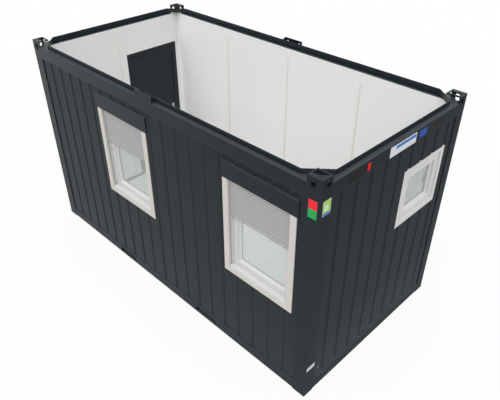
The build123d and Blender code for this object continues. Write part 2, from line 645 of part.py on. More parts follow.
def shutter_box(middle):
    """The closed box over the window that holds the rolled-up slats."""
    half = BOX_WIDTH / 2
    box = block(middle - half, middle + half, 0, PANEL_BACK, SHUTTER_WINDOW_TOP,
                SHUTTER_WINDOW_TOP + BOX_HEIGHT)
    front = box.edges().filter_by(Axis.X).sort_by(Axis.Y)[:2]
    return fillet(front, BOX_EDGE_RADIUS)


def shuttered_windows():
    """Surround, frame, sash, pane, box and half-closed curtain of each window."""
    for number, middle in enumerate(SHUTTER_WINDOW_CENTRES, 1):
        spot = (middle, SHUTTER_WINDOW_WIDTH, SHUTTER_WINDOW_BOTTOM, SHUTTER_WINDOW_TOP)
        name = f"window_{number}"
        reach = FRAME_MARGIN + SASH_WIDTH + SASH_BEAD
        export(f"{name}_surround", [shutter_surround(middle)], FRONT)
        export(f"{name}_frame", [shutter_window_frame(middle, spot)], FRONT)
        export(f"{name}_sash", [bevelled_sash(*spot, FRAME_MARGIN, SASH_WIDTH, SASH_BEAD,
                                              (SASH_FACE, SASH_STEP, GLASS_DEPTH,
                                               SASH_BACK))], FRONT)
        pane = extrude(window_plan(*spot, reach, GLASS_DEPTH), amount=GLASS)
        export(f"{name}_pane", [pane], FRONT)
        export(f"{name}_shutter_box", [shutter_box(middle)], FRONT)
        export(f"{name}_shutter", [shutter_curtain(middle)], FRONT)


def end_window():
    """The small window without a shutter in the right end wall."""
    spot = (END_WINDOW_CENTRE, END_WINDOW_WIDTH, END_WINDOW_BOTTOM, END_WINDOW_TOP)
    reach = END_FRAME_MARGIN + END_SASH_WIDTH + END_SASH_BEAD
    export("window_3_frame", [ring(*spot, 0, END_FRAME_MARGIN, PANEL_FLAT, ROOM_DEPTH)],
           RIGHT)
    export("window_3_sash", [bevelled_sash(*spot, END_FRAME_MARGIN, END_SASH_WIDTH,
                                           END_SASH_BEAD,
                                           (END_SASH_FACE, END_SASH_STEP, END_GLASS_DEPTH,
                                            END_SASH_BACK))], RIGHT)
    export("window_3_pane", [extrude(window_plan(*spot, reach, END_GLASS_DEPTH),
                                     amount=GLASS)], RIGHT)


# ---------------------------------------------------------------- door
def jamb(lining_edge, face, outer):
    """One jamb: outer face, rebate for the leaf and the stop by the lining."""
    stop = face + copysign(DOOR_STOP, face - lining_edge)
    return rise_z([(outer, DOOR_FRAME_FACE), (face, DOOR_FRAME_FACE), (face, DOOR_STOP_DEPTH),
                   (stop, DOOR_STOP_DEPTH), (stop, ROOM_DEPTH), (lining_edge, ROOM_DEPTH),
                   (lining_edge, PANEL_BACK), (outer, PANEL_BACK)], FLOOR_LEVEL, HEAD_FACE)


def door_frame():
    """Two jambs, the head over them and the threshold under them."""
    jambs = [jamb(DOOR_HINGE_EDGE, JAMB_HINGE_FACE, HINGE_JAMB_OUTER),
             jamb(DOOR_LATCH_EDGE, JAMB_LATCH_FACE, -END_HALF)]
    head = block(-END_HALF, HINGE_JAMB_OUTER, DOOR_FRAME_FACE, PANEL_BACK, HEAD_FACE, HEAD_TOP)
    head += block(JAMB_LATCH_FACE + DOOR_STOP, JAMB_HINGE_FACE - DOOR_STOP, DOOR_STOP_DEPTH,
                  ROOM_DEPTH, HEAD_FACE - DOOR_STOP, DOOR_LINING_TOP)
    head += block(DOOR_LATCH_EDGE, DOOR_HINGE_EDGE, PANEL_BACK, ROOM_DEPTH, HEAD_FACE,
                  DOOR_LINING_TOP)
    export("door_frame", jambs + [head], LEFT)
    export("door_threshold", [run_x([(DOOR_FRAME_FACE, END_RAIL_TOP),
                                     (DOOR_FRAME_FACE, FLOOR_LEVEL - 6),
                                     (DOOR_FRAME_FACE + 8, FLOOR_LEVEL),
                                     (PANEL_BACK, FLOOR_LEVEL), (PANEL_BACK, END_RAIL_TOP)],
                                    -END_HALF, HINGE_JAMB_OUTER)], LEFT)


PIN_X = LEAF_HINGE - HINGE_PIN_INSET
LEVER_X = LEAF_LATCH + LEVER_BACKSET
LEVER_Z = FLOOR_LEVEL + LEVER_RISE
DOOR_BACK = DOOR_FACE + DOOR_THICKNESS


def through_leaf(radius, y0, y1):
    """A round bar or hole on the lever's axis."""
    return Pos(LEVER_X, y0, LEVER_Z) * Rot(-90, 0, 0) * Cylinder(
        radius, y1 - y0, align=(Align.CENTER, Align.CENTER, Align.MIN))


def door_leaf():
    """A flat insulated leaf with rounded outer edges and a hole for the spindle."""
    leaf = block(LEAF_LATCH, LEAF_HINGE, DOOR_FACE, DOOR_BACK, LEAF_BOTTOM, LEAF_TOP)
    outer = leaf.faces().sort_by(Axis.Y)[0].edges()
    leaf = fillet(outer, LEAF_EDGE_RADIUS)
    leaf -= through_leaf(SPINDLE_RADIUS + SPINDLE_CLEARANCE, DOOR_FACE - 1, DOOR_BACK + 1)
    export("door_leaf", [leaf], LEFT)


def hinge_levels():
    """Lower ends of the three hinges."""
    low = LEAF_BOTTOM + HINGE_END_DISTANCE
    high = LEAF_TOP - HINGE_END_DISTANCE - 2 * HINGE_KNUCKLE
    return (low, (low + high) / 2, high)


def door_hinges():
    """Weld-on hinges: a knuckle with a pin on the jamb, one with a bore on the leaf."""
    upright = (Align.CENTER, Align.CENTER, Align.MIN)
    fixed, moving = [], []
    for level in hinge_levels():
        foot = Pos(PIN_X, HINGE_PIN_DEPTH, level)
        knuckle = foot * Cylinder(HINGE_RADIUS, HINGE_KNUCKLE, align=upright)
        knuckle += foot * Cylinder(HINGE_PIN_RADIUS, 2 * HINGE_KNUCKLE, align=upright)
        knuckle += block(PIN_X, JAMB_HINGE_FACE, HINGE_PIN_DEPTH - HINGE_WEB / 2,
                         HINGE_PIN_DEPTH + HINGE_WEB / 2, level, level + HINGE_KNUCKLE)
        fixed.append(knuckle)
        split = level + HINGE_KNUCKLE + HINGE_SPLIT
        seat = Pos(PIN_X, HINGE_PIN_DEPTH, split)
        length = HINGE_KNUCKLE - HINGE_SPLIT
        sleeve = seat * Cylinder(HINGE_RADIUS, length, align=upright)
        sleeve += block(PIN_X - HINGE_WEB / 2, PIN_X + HINGE_PIN_INSET, HINGE_PIN_DEPTH, DOOR_FACE,
                        split, split + length)
        sleeve -= seat * Cylinder(HINGE_PIN_RADIUS + HINGE_PIN_CLEARANCE, length, align=upright)
        moving.append(sleeve)
    export("door_hinges_jamb", fixed, LEFT)
    export("door_hinges_leaf", moving, LEFT)


def lock_plates():
    """A long plate on each face of the leaf, bored for the lever's neck."""
    plates = []
    for face, side in ((DOOR_FACE, -1), (DOOR_BACK, 1)):
        outer = face + side * LOCK_PLATE_THICKNESS
        y0, y1 = min(face, outer), max(face, outer)
        low = LEVER_Z - LOCK_PLATE_HEIGHT * 0.6
        plate = block(LEVER_X - LOCK_PLATE_WIDTH / 2, LEVER_X + LOCK_PLATE_WIDTH / 2, y0, y1,
                      low, low + LOCK_PLATE_HEIGHT)
        plates.append(plate - through_leaf(LOCK_PLATE_BORE, y0 - 1, y1 + 1))
    export("door_lock_plates", plates, LEFT)


def door_lever():
    """Levers inside and outside on one spindle."""
    lever = through_leaf(SPINDLE_RADIUS, DOOR_FACE - LEVER_REACH / 2, DOOR_BACK + LEVER_REACH / 2)
    for face, side in ((DOOR_FACE, -1), (DOOR_BACK, 1)):
        tip = face + side * LEVER_REACH
        start = face + side * 0.5
        lever += through_leaf(LEVER_NECK_RADIUS, min(start, tip), max(start, tip))
        inner = tip - side * LEVER_THICKNESS
        grip = block(LEVER_X - LEVER_HEIGHT / 2, LEVER_X + LEVER_LENGTH, min(inner, tip),
                     max(inner, tip), LEVER_Z - LEVER_HEIGHT / 2, LEVER_Z + LEVER_HEIGHT / 2)
        lever += fillet(grip.edges().filter_by(Axis.Y), LEVER_HEIGHT / 2 - 1)
    export("door_lever", [lever], LEFT)


def service_cap():
    """A shallow domed cap on a flat of the right end wall."""
    cap = Cylinder(CAP_RADIUS, PANEL_FLAT, align=(Align.CENTER, Align.CENTER, Align.MIN))
    cap = fillet(cap.edges().sort_by(Axis.Z)[-1], PANEL_FLAT / 2)
    export("service_cap", [Pos(CAP_FROM_CORNER - WIDTH / 2, PANEL_FLAT, CAP_LEVEL)
                           * Rot(90, 0, 0) * cap], RIGHT)


def main():
    os.makedirs("parts", exist_ok=True)
    top_castings()
    bottom_castings()
    corner_posts()
    bottom_rails()
    fork_pockets()
    floor_frame()
    top_rails()
    corner_gussets()
    lifting_brackets()
    wall_panels()
    linings()
    trims()
    corner_linings()
    shuttered_windows()
    end_window()
    door_frame()
    door_leaf()
    door_hinges()
    lock_plates()
    door_lever()
    service_cap()


main()
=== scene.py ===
"""Portable site cabin with an open top, dressed in painted steel, white boards and glass."""

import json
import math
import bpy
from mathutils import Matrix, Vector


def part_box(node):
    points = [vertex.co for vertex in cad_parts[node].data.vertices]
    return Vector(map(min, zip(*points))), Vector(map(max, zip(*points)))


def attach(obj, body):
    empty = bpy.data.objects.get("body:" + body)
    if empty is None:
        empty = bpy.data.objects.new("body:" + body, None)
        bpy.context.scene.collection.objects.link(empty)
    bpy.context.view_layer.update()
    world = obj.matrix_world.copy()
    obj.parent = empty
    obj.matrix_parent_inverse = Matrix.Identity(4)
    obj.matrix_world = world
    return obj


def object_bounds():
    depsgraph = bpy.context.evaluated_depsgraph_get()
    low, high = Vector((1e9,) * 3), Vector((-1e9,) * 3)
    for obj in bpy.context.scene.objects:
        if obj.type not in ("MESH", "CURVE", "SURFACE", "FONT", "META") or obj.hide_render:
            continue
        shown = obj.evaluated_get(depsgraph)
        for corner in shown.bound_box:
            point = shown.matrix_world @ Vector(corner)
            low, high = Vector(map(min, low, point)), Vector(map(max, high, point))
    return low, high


bl_info = {
    "name": "Portable Site Cabin",
    "version": (1, 0, 0),
    "blender": (4, 5, 0),
    "location": "View3D > Sidebar > Cabin",
    "description": "Finishes and small fittings for a steel site cabin without its roof",
    "category": "Object",
}

import bmesh
import bpy
from mathutils import Matrix, Vector

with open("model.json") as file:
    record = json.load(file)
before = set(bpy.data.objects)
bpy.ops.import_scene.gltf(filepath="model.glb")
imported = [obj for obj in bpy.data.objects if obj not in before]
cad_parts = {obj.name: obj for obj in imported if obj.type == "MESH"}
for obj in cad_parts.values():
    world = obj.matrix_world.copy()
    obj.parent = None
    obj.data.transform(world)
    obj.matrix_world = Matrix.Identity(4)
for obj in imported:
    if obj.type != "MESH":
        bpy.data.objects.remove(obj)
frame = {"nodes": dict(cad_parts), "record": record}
NODES = frame["nodes"]
CAD_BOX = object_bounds()
LOW, HIGH = Vector(CAD_BOX[0]), Vector(CAD_BOX[1])
UP = Vector((0, 0, 1))

# each wall's outward normal and the direction that runs along it
FRONT = (Vector((0, -1, 0)), Vector((1, 0, 0)))
BACK = (Vector((0, 1, 0)), Vector((-1, 0, 0)))
RIGHT = (Vector((1, 0, 0)), Vector((0, 1, 0)))
LEFT = (Vector((-1, 0, 0)), Vector((0, -1, 0)))
WALLS = {"front_wall": FRONT, "back_wall": BACK, "right_wall": RIGHT, "left_wall": LEFT}
# the cabin's corners, as the signs of their X and Y
CORNERS = ((-1, -1), (-1, 1), (1, -1), (1, 1))
# windows with a roller shutter, and how light the painted reflection is on each pane
SHUTTERED = (1, 2)
PANE_PAINTED_REFLECTION = {1: 0.97, 2: 1.11, 3: 0.79}

# sizes in metres
HAIR = 0.0003  # keeps laid-on sheets off the faces behind them
BOTTOM_BAR = 0.040  # height of a curtain's bottom bar
SLAT_PITCH = 0.0387  # height of one slat
LEDGE_PLATE = 0.0035  # thickness of the plates behind the castings
LEDGE_DROP = 0.0002  # how far they lie under the ledge
CASTING_WALL = 0.0163  # the castings' wall, beside which those plates end
FLASHING = 0.0122  # height of the strips over the shutter boxes
COVER_SHEET = 0.002  # how far the corner covers stand off the linings
COVER_BACK = 0.1200  # their reach along the walls, under the castings
WELD_STEP = 0.006  # one ripple of a weld bead
LATCH_REACH = (0.110, 0.090)  # the lock's front and strike plates, under and over the lever
LOCK_SHEET = 0.0012  # how far those plates stand out
LOCK_DROP = 0.072  # the lock's cylinder, under the lever
HINGE = 0.096  # height of one hinge
GROUND = -0.001  # level of the ground, just under the cabin

# turned shapes as radius and height, in metres, or in shares of a screw head's radius
SCREW_HEAD = ((0.0, 0.25), (0.30, 0.25), (0.36, 0.58), (0.62, 0.58), (0.92, 0.28), (1.0, 0.0),
              (0.0, 0.0))
HANDLE_NECK = ((0.0, 0.0), (0.011, 0.0), (0.009, 0.010), (0.009, 0.022), (0.0, 0.022))
HINGE_COVER = ((0.0, 0.0), (0.006, 0.001), (0.008, 0.004), (0.008, 0.056), (0.006, 0.059),
               (0.0, 0.060))
LEVER_COLLAR = ((0.0085, -0.001), (0.0085, 0.004), (0.0105, 0.004), (0.0125, 0.002),
                (0.0130, -0.001))
LOCK_CYLINDER = ((0.0, 0.003), (0.0074, 0.003), (0.0085, 0.002), (0.0085, 0.0), (0.0, 0.0))
LOCK_SIDES = 28  # how many flat sides the lock's turned parts have
HINGE_CAP = ((0.0, 0.0), (0.0078, 0.0), (0.0070, 0.0020), (0.0040, 0.0034), (0.0, 0.0040))

# height at which the paint's shading ends, and how far out the long walls' grooves lie
WALL_TOP = 2.6
GROOVES = (1.150, 1.2067)
# how far round a corner of the room its boards take painted shade, and how that fades
CORNER_SHADE_REACH = 0.20
CORNER_SHADE_FADE = [(0.0, 0.0), (0.45, 0.10), (0.75, 0.36), (1.0, 1.0)]
# shares of a colour for painted light, and for dust with painted light on upward faces, the tint that
# painted light adds to ledges, and the tint of the grooves' painted light
PALE, DUST_AND_TOP_LIGHT = 2.0, 2.2
LIT_LEDGE_TINT = (0.0035, 0.0005, -0.0010)
GROOVE_LIGHT_TINT = (0.80, 1.03, 1.14)
# the lacquer's shine on each kind of face, and the painted shade beneath it: how much darker the paint
# is made there
SLANTED_SHEEN, SIDE_SHEEN, END_SHEEN, TOP_SHEEN = 0.75, 0.85, 0.10, 0.95
SIDE_PAINTED_SHADE, END_PAINTED_SHADE = 0.0139, 0.007
# noise scale of the finest grain in paint and rubber
PEEL = 900.0
# how much of its normal a face has along the axis that it looks along
STRAIGHT = (0.9, 1.1)
BLACK, WHITE = (0.0, 0.0, 0.0), (1.0, 1.0, 1.0)
PRIMER = (0.05, 0.05, 0.052)

# plates without words: side, one corner and the other (along, height), and their colour
POST_PLATES = (
    ("front", (2.311, 2.482, 2.407, 2.578), (0.74, 0.022, 0.035)),
    ("front", (2.311, 2.388, 2.407, 2.482), (0.016, 0.33, 0.075)),
    ("end", (-1.185, 2.426, -1.077, 2.581), (0.60, 0.62, 0.66)),
    ("end", (-1.181, 2.452, -1.081, 2.577), (0.28, 0.55, 0.07)),
    ("end", (-1.165, 2.470, -1.110, 2.540), (0.55, 0.60, 0.42)),
    ("end", (-1.181, 2.428, -1.081, 2.452), (0.06, 0.15, 0.55)),
    ("end", (-1.203, 0.400, -1.060, 0.457), (0.50, 0.56, 0.62)),
)
FASCIA_PLATES = (
    ("end", (-0.830, 2.612, -0.570, 2.692), (0.016, 0.014, 0.0132)),
    ("end", (-0.568, 2.612, -0.525, 2.692), (0.70, 0.012, 0.012)),
    ("end", (-0.212, 2.592, 0.244, 2.706), (0.60, 0.62, 0.64)),
    ("end", (-0.115, 2.655, 0.235, 2.692), (0.07, 0.17, 0.45)),
    ("end", (0.300, 2.612, 0.440, 2.692), (0.03, 0.075, 0.32)),
    ("end", (0.580, 2.612, 0.830, 2.692), (0.016, 0.014, 0.0132)),
)
# half the depth in which a face still takes a plate's colour
PLATE_DEPTH = 0.0005

# outputs of the Texture Coordinate node, and sockets of the Mix node for colours
OBJECT_NORMAL, OBJECT_PLACE = 1, 3
MIX_FIRST, MIX_SECOND, MIX_RESULT = 6, 7, 2


# ---- properties
def colour(name, description, default):
    """A colour that a user can change in the sidebar."""
    return bpy.props.FloatVectorProperty(name=name, description=description, default=default,
                                         subtype="COLOR", size=3, min=0.0, max=1.0)


def length(name, description, default):
    """A length in metres that a user can change in the sidebar."""
    return bpy.props.FloatProperty(name=name, description=description, default=default,
                                   unit="LENGTH", precision=4, min=0.0)


def light(name, description, default):
    """The strength of a light."""
    return bpy.props.FloatProperty(name=name, description=description, default=default,
                                   min=0.0, max=10.0)


def turn(name, description, degrees):
    """An angle that a user can change in the sidebar."""
    return bpy.props.FloatProperty(name=name, description=description, subtype="ANGLE",
                                   default=math.radians(degrees))


class CabinColours(bpy.types.PropertyGroup):
    """Colours of the cabin's finishes."""
    frame: colour("Frame", "Paint on the posts, rails and castings", (0.0215, 0.0280, 0.0315))
    cladding: colour("Cladding", "Paint on the long walls' sheets", (0.0100, 0.0155, 0.0195))
    # painted light: the end walls' sheets have their own colour for how light falls on them
    lit_end_cladding: colour("End cladding", "Paint on the end walls' sheets", (0.0362, 0.0410, 0.0454))
    lining: colour("Lining", "Inner boards", (0.85, 0.85, 0.85))
    # painted shade: the boards beside the door are darker
    shaded_end_lining: colour("End lining", "Inner boards beside the door", (0.785, 0.785, 0.785))
    strip: colour("Joint strips", "Strips over the board joints", (0.79, 0.765, 0.69))
    floor: colour("Floor", "Floor covering", (0.95, 0.945, 0.925))
    skirting: colour("Skirting", "Skirting round the floor", (0.045, 0.05, 0.052))
    window: colour("Window plastic", "Frames and sashes", (0.575, 0.575, 0.575))
    guide: colour("Guides", "Shutter guides and sill", (0.548, 0.527, 0.487))
    curtain: colour("Curtain", "Roller shutter slats", (0.385, 0.385, 0.385))
    door: colour("Door", "Door leaf and frame", (0.0360, 0.0410, 0.0455))
    metal: colour("Fittings", "Lever, plates and threshold", (0.60, 0.60, 0.60))
    rubber: colour("Rubber", "Door seal and keyways", (0.012, 0.013, 0.014))
    lip: colour("Lip", "Rubber lips under the curtains", (0.05, 0.05, 0.05))
    gasket: colour("Gasket", "Glazing gaskets", (0.52, 0.53, 0.53))
    cap: colour("Cap", "Cap over the service hole", (0.075, 0.070, 0.066))
    # painted reflection: the panes' pale veil
    glass: colour("Glass", "Haze on the panes", (0.56, 0.585, 0.58))


class CabinSizes(bpy.types.PropertyGroup):
    """Sizes of the small fittings."""
    weld: length("Weld bead", "Radius of the weld beads at the lifting brackets", 0.006)
    # the dark beads round the sheets are painted shade along their edges
    sheet_bead: length("Sealant bead", "Radius of the beads round the ribbed sheets", 0.006)
    screw: length("Screw head", "Radius of the screw heads", 0.0045)
    gasket: length("Gasket", "Width of the glazing gaskets", 0.006)
    trim: length("Corner trim", "Radius of the trims in the room's corners", 0.010)


class CabinStage(bpy.types.PropertyGroup):
    """Light and camera."""
    world: light("World light", "Strength of the even light from all round", 0.78)
    lamp: light("Lamp light", "Strength of the very soft sun", 1.6)
    focal: bpy.props.FloatProperty(name="Lens", description="Focal length on a 36 mm sensor",
                                   default=39.47, min=1.0)
    azimuth: turn("Azimuth", "Direction of view", 44.9626)
    elevation: turn("Elevation", "Height of view", 34.8629)
    eye: bpy.props.FloatVectorProperty(name="Camera", description="Where the camera stands",
                                       default=(4.63333, -4.23936, 5.19075),
                                       subtype="TRANSLATION", size=3)


# ---- shader maths
def both_ways(operation):
    """An operator of one Math node, and its reflected form."""
    return (lambda self, other: self.math(operation, self, other),
            lambda self, other: self.math(operation, other, self))


class Value:
    """A shader socket that can be used in plain sums; numbers may stand beside it."""

    def __init__(self, finish, socket):
        self.finish = finish
        self.socket = socket

    def math(self, operation, left, right=0.0):
        """The result of one Math node."""
        return self.finish.node("ShaderNodeMath", {"operation": operation}, {0: left, 1: right})

    __add__, __radd__ = both_ways("ADD")
    __sub__, __rsub__ = both_ways("SUBTRACT")
    __mul__, __rmul__ = both_ways("MULTIPLY")
    __truediv__, __rtruediv__ = both_ways("DIVIDE")

    def __lt__(self, other):
        return self.math("LESS_THAN", self, other)

    def __abs__(self):
        return self.math("ABSOLUTE", self)

    def fraction(self):
        """What is left beside the whole number."""
        return self.math("FRACT", self)

    def or_more(self, other):
        """The larger of two values."""
        return self.math("MAXIMUM", self, other)


class Finish:
    """The nodes of one material, or of the world."""

    def __init__(self, name, kind="materials"):
        self.block = getattr(bpy.data, kind).new(name)
        self.block.use_nodes = True
        self.tree = self.block.node_tree
        self.tree.nodes.clear()

    def node(self, kind, settings=None, inputs=None, output=0):
        """Adds a node: its settings first, then the values or links of its sockets."""
        node = self.tree.nodes.new(kind)
        for key, value in (settings or {}).items():
            if key == "stops":
                self.fill_ramp(node.color_ramp, value)
            else:
                setattr(node, key, value)
        for key, value in (inputs or {}).items():
            if isinstance(value, Value):
                self.tree.links.new(value.socket, node.inputs[key])
            else:
                node.inputs[key].default_value = value
        return Value(self, node.outputs[output]) if node.outputs else None

    @staticmethod
    def fill_ramp(ramp, stops):
        """Stops are (position, grey level)."""
        while len(ramp.elements) < len(stops):
            ramp.elements.new(1.0)
        for element, (position, level) in zip(ramp.elements, stops):
            element.position = position
            element.color = (level, level, level, 1.0)

    def outputs(self, value, *keys):
        """Outputs of the node that gave a value."""
        outs = value.socket.node.outputs
        return [Value(self, outs[key]) for key in keys]

    def whole(self, output=OBJECT_PLACE):
        """A point's place in metres, or the way that its face looks, as one vector."""
        return self.node("ShaderNodeTexCoord", output=output)

    def axes(self, output=OBJECT_PLACE):
        """The same as three values: its X, Y and Z."""
        parts = self.node("ShaderNodeSeparateXYZ", None, {0: self.whole(output)})
        return self.outputs(parts, 0, 1, 2)

    def facing(self, axis):
        """1 on faces that look straight along an axis, either way."""
        return self.between(abs(self.axes(OBJECT_NORMAL)[axis]), *STRAIGHT)

    def facing_up(self):
        """1 on surfaces that look up, where dust settles, and 0 on upright ones."""
        return self.steps(self.axes(OBJECT_NORMAL)[2], [(0.15, 0.0), (0.80, 1.0)])

    def between(self, value, low, high):
        """1 where a value lies between two limits."""
        return abs(value - (low + high) / 2) < (high - low) / 2

    def steps(self, value, stops):
        """A value sent through a ramp of grey levels."""
        return self.node("ShaderNodeValToRGB", {"stops": stops}, {0: value})

    def spread(self, value, low, high, stops=((0.0, 0.0), (1.0, 1.0))):
        """A ramp of grey levels laid out from one limit to the other."""
        return self.steps((value - low) / (high - low), stops)

    def noise(self, scale, detail=3.0, stretch=(1.0, 1.0, 1.0), rough=0.5):
        """Soft random mottling; scale is per metre."""
        place = self.node("ShaderNodeVectorMath", {"operation": "MULTIPLY"},
                          {0: self.whole(), 1: stretch})
        return self.node("ShaderNodeTexNoise", None, {"Vector": place, "Scale": scale,
                                                      "Detail": detail, "Roughness": rough})

    def mix(self, share, first, second):
        """A blend of two colours."""
        return self.node("ShaderNodeMix", {"data_type": "RGBA"},
                         {0: share, MIX_FIRST: rgba(first), MIX_SECOND: rgba(second)},
                         output=MIX_RESULT)

    def mottle(self, share, base, dark, light):
        """A colour that wanders between a darker and a lighter shade of itself."""
        return self.mix(share, shade(base, dark), shade(base, light))

    def plate(self, tone, place):
        """A tone with one stuck-on plate over it, inside its limits on one face."""
        side, (low, bottom, high, top), field = place
        x, y, height = self.axes()
        out, along, face = (x, y, HIGH.x) if side == "end" else (y, x, LOW.y)
        on_face = self.between(out, face - PLATE_DEPTH, face + PLATE_DEPTH)
        inside = self.between(along, low, high) * self.between(height, bottom, top)
        return self.mix(inside * on_face, tone, field)

    def bump(self, height, depth, strength):
        """A normal from a height; depth is in metres."""
        return self.node("ShaderNodeBump", None,
                         {"Strength": strength, "Distance": depth, "Height": height})

    def grain(self, scale, depth, strength=0.5, stretch=(1.0, 1.0, 1.0)):
        """A normal from a very fine noise."""
        return self.bump(self.noise(scale, 2.0, stretch), depth, strength)

    def surface(self, base, **sockets):
        """The Principled shader, on the material's output."""
        inputs = {"Base Color": rgba(base)}
        inputs.update({key.replace("_", " "): value for key, value in sockets.items()})
        return self.put_out(self.node("ShaderNodeBsdfPrincipled", None, inputs))

    def put_out(self, shader, kind="ShaderNodeOutputMaterial"):
        """The finished material or world, with a shader on its output."""
        self.node(kind, None, {"Surface": shader})
        return self.block


def rgba(value):
    """A colour with its alpha, or a link as it is."""
    if isinstance(value, Value):
        return value
    return (*tuple(value)[:3], 1.0)


def shade(value, share):
    """A colour made darker or lighter by a share."""
    return tuple(min(1.0, channel * share) for channel in tuple(value)[:3])


# ---- finishes
def coated_steel(name, base, dust=0.3, ledge=2.6, plates=(), painted_highlights=()):
    """Powder coat with faint orange peel, slight mottling and dust low down, and painted light and
    shade.

    A ledge is painted this many times lighter, and painted highlights are paler stripes: bottom, top
    and share.
    """
    finish = Finish(name)
    height = finish.axes()[2]
    end_on = finish.facing(0)
    cloud = finish.noise(2.2, 4.0)
    fine = finish.noise(38.0)
    low = finish.steps(height + cloud * 0.25, [(0.12, 1.0), (0.62, 0.0)])
    rise = finish.spread(height, 0.0, WALL_TOP, [(0.0, 0.6), (1.0, 1.0)])
    lit_ledge = [channel * ledge + extra * (ledge - 1.0) for channel, extra in zip(base, LIT_LEDGE_TINT)]
    tone = finish.mottle(cloud, base, 0.95, 1.05)
    # painted light and shade: faces that look along Y or X are painted darker beneath their sheen, and
    # faces that look up lighter
    sheen = SLANTED_SHEEN
    for mask, paint, shine, drop in (
            (finish.facing(1), base, rise * SIDE_SHEEN, SIDE_PAINTED_SHADE),
            (end_on, base, END_SHEEN, END_PAINTED_SHADE),
            (finish.facing_up(), lit_ledge, TOP_SHEEN, 0.0)):
        under = [max(0.0, channel - drop) for channel in paint]
        tone = finish.mix(mask, tone, finish.mottle(fine, under, 0.93, 1.07))
        sheen = mask * (shine - SLANTED_SHEEN) + sheen
    # painted light: end faces paler towards the bottom
    tone = finish.mix(end_on * (1 - rise) * 0.55, tone, shade(base, PALE))
    tone = finish.mix(low * fine * dust, tone, shade(base, DUST_AND_TOP_LIGHT))
    for bottom, top, share in painted_highlights:
        tone = finish.mix(finish.between(height, bottom, top) * share, tone, shade(base, PALE))
    for place in plates:
        tone = finish.plate(tone, place)
    return finish.surface(tone, Roughness=0.42 + (fine - 0.5) * 0.10 + low * 0.12,
                          Normal=finish.grain(PEEL, 0.00006, 0.6), Specular_IOR_Level=0.01,
                          Coat_Weight=sheen, Coat_Roughness=0.3, Coat_IOR=1.25)


def ribbed_sheet(name, base, gloss, groove_light=0.0, shaded=(), top_shade=0.0):
    """Coated cladding with faint rain streaks and painted light, with painted shade in its strips over
    the shutter boxes.

    groove_light is how far the grooves are painted lighter against their shade, and top_shade how dark
    the top is painted.
    """
    finish = Finish(name)
    along, out, height = finish.axes()
    cloud = finish.noise(1.6)
    streak = finish.noise(26.0, 3.0, (1.0, 1.0, 0.03))
    low = finish.steps(height + cloud * 0.3, [(0.20, 1.0), (1.0, 0.0)])
    tone = finish.mottle(cloud, base, 0.96, 1.05)
    tone = finish.mix(finish.steps(streak, [(0.52, 0.0), (0.80, 0.10)]), tone, shade(base, 1.5))
    # painted light: paler towards the foot, in streaks, against the ground's shade
    tone = finish.mix(low * (0.15 + streak * 0.35), tone, shade(base, PALE))
    # painted light: faces that look up are lighter
    tone = finish.mix(finish.facing_up(), tone, shade(base, DUST_AND_TOP_LIGHT))
    recess = finish.between(abs(out), *GROOVES)
    # painted shade in the strips over the shutter boxes, less in the grooves
    for left, right, bottom, top in shaded:
        strip = finish.between(along, left, right) * finish.between(height, bottom, top)
        fade = finish.spread(height, bottom, top, [(0.0, 0.50), (1.0, 0.38)])
        tone = finish.mix(strip * fade * (1 - recess * 0.25), tone, BLACK)
    # painted light: the grooves lighter, against their shade
    if groove_light:
        grey = sum(tuple(base)[:3]) / 3
        tone = finish.mix(recess * groove_light, tone, [grey * share * PALE for share in GROOVE_LIGHT_TINT])
    # painted shade: darker towards the top
    if top_shade:
        rise = finish.spread(height, 0.1, WALL_TOP)
        tone = finish.mix(rise * top_shade, tone, BLACK)
    return finish.surface(tone, Roughness=0.44 + (streak - 0.5) * 0.12,
                          Normal=finish.grain(PEEL, 0.00005), Specular_IOR_Level=gloss)


def board(name, base, half_length, half_width, lift=0.0):
    """Smooth laminated board with a faint cloudiness, painted shade in the room's upper corners and
    painted light lower down.

    lift is how much painted light it takes towards the door's end.
    """
    finish = Finish(name)
    along, across, height = finish.axes()
    cloud = finish.noise(3.0, 4.0)
    tone = finish.mottle(cloud, base, 0.99, 1.008)
    # painted light: paler lower down
    lit_low = finish.spread(height, 0.9, WALL_TOP, [(0.0, 1.0), (1.0, 0.0)])
    tone = finish.mix(lit_low, tone, shade(base, 1.12))
    # painted light towards the door's end
    door_end_light = finish.spread(along, -half_length, -0.9, [(0.0, 1.0), (0.3, 0.75), (1.0, 0.0)])
    lower = finish.spread(height, 1.4, WALL_TOP, [(0.0, 1.0), (1.0, 0.2)])
    tone = finish.mix(door_end_light * lower * lift, tone, shade(base, 1.25))
    # painted shade in the room's upper corners
    near_end = finish.spread(abs(along), half_length - CORNER_SHADE_REACH, half_length, CORNER_SHADE_FADE)
    near_side = finish.spread(abs(across), half_width - CORNER_SHADE_REACH, half_width, CORNER_SHADE_FADE)
    upper = finish.spread(height, 1.4, 2.4)
    tone = finish.mix(near_end * near_side * upper * 0.5, tone, shade(base, 0.70))
    return finish.surface(tone, Roughness=0.52 + (cloud - 0.5) * 0.08,
                          Normal=finish.grain(240.0, 0.00005, 0.35, (1.0, 1.0, 0.4)))


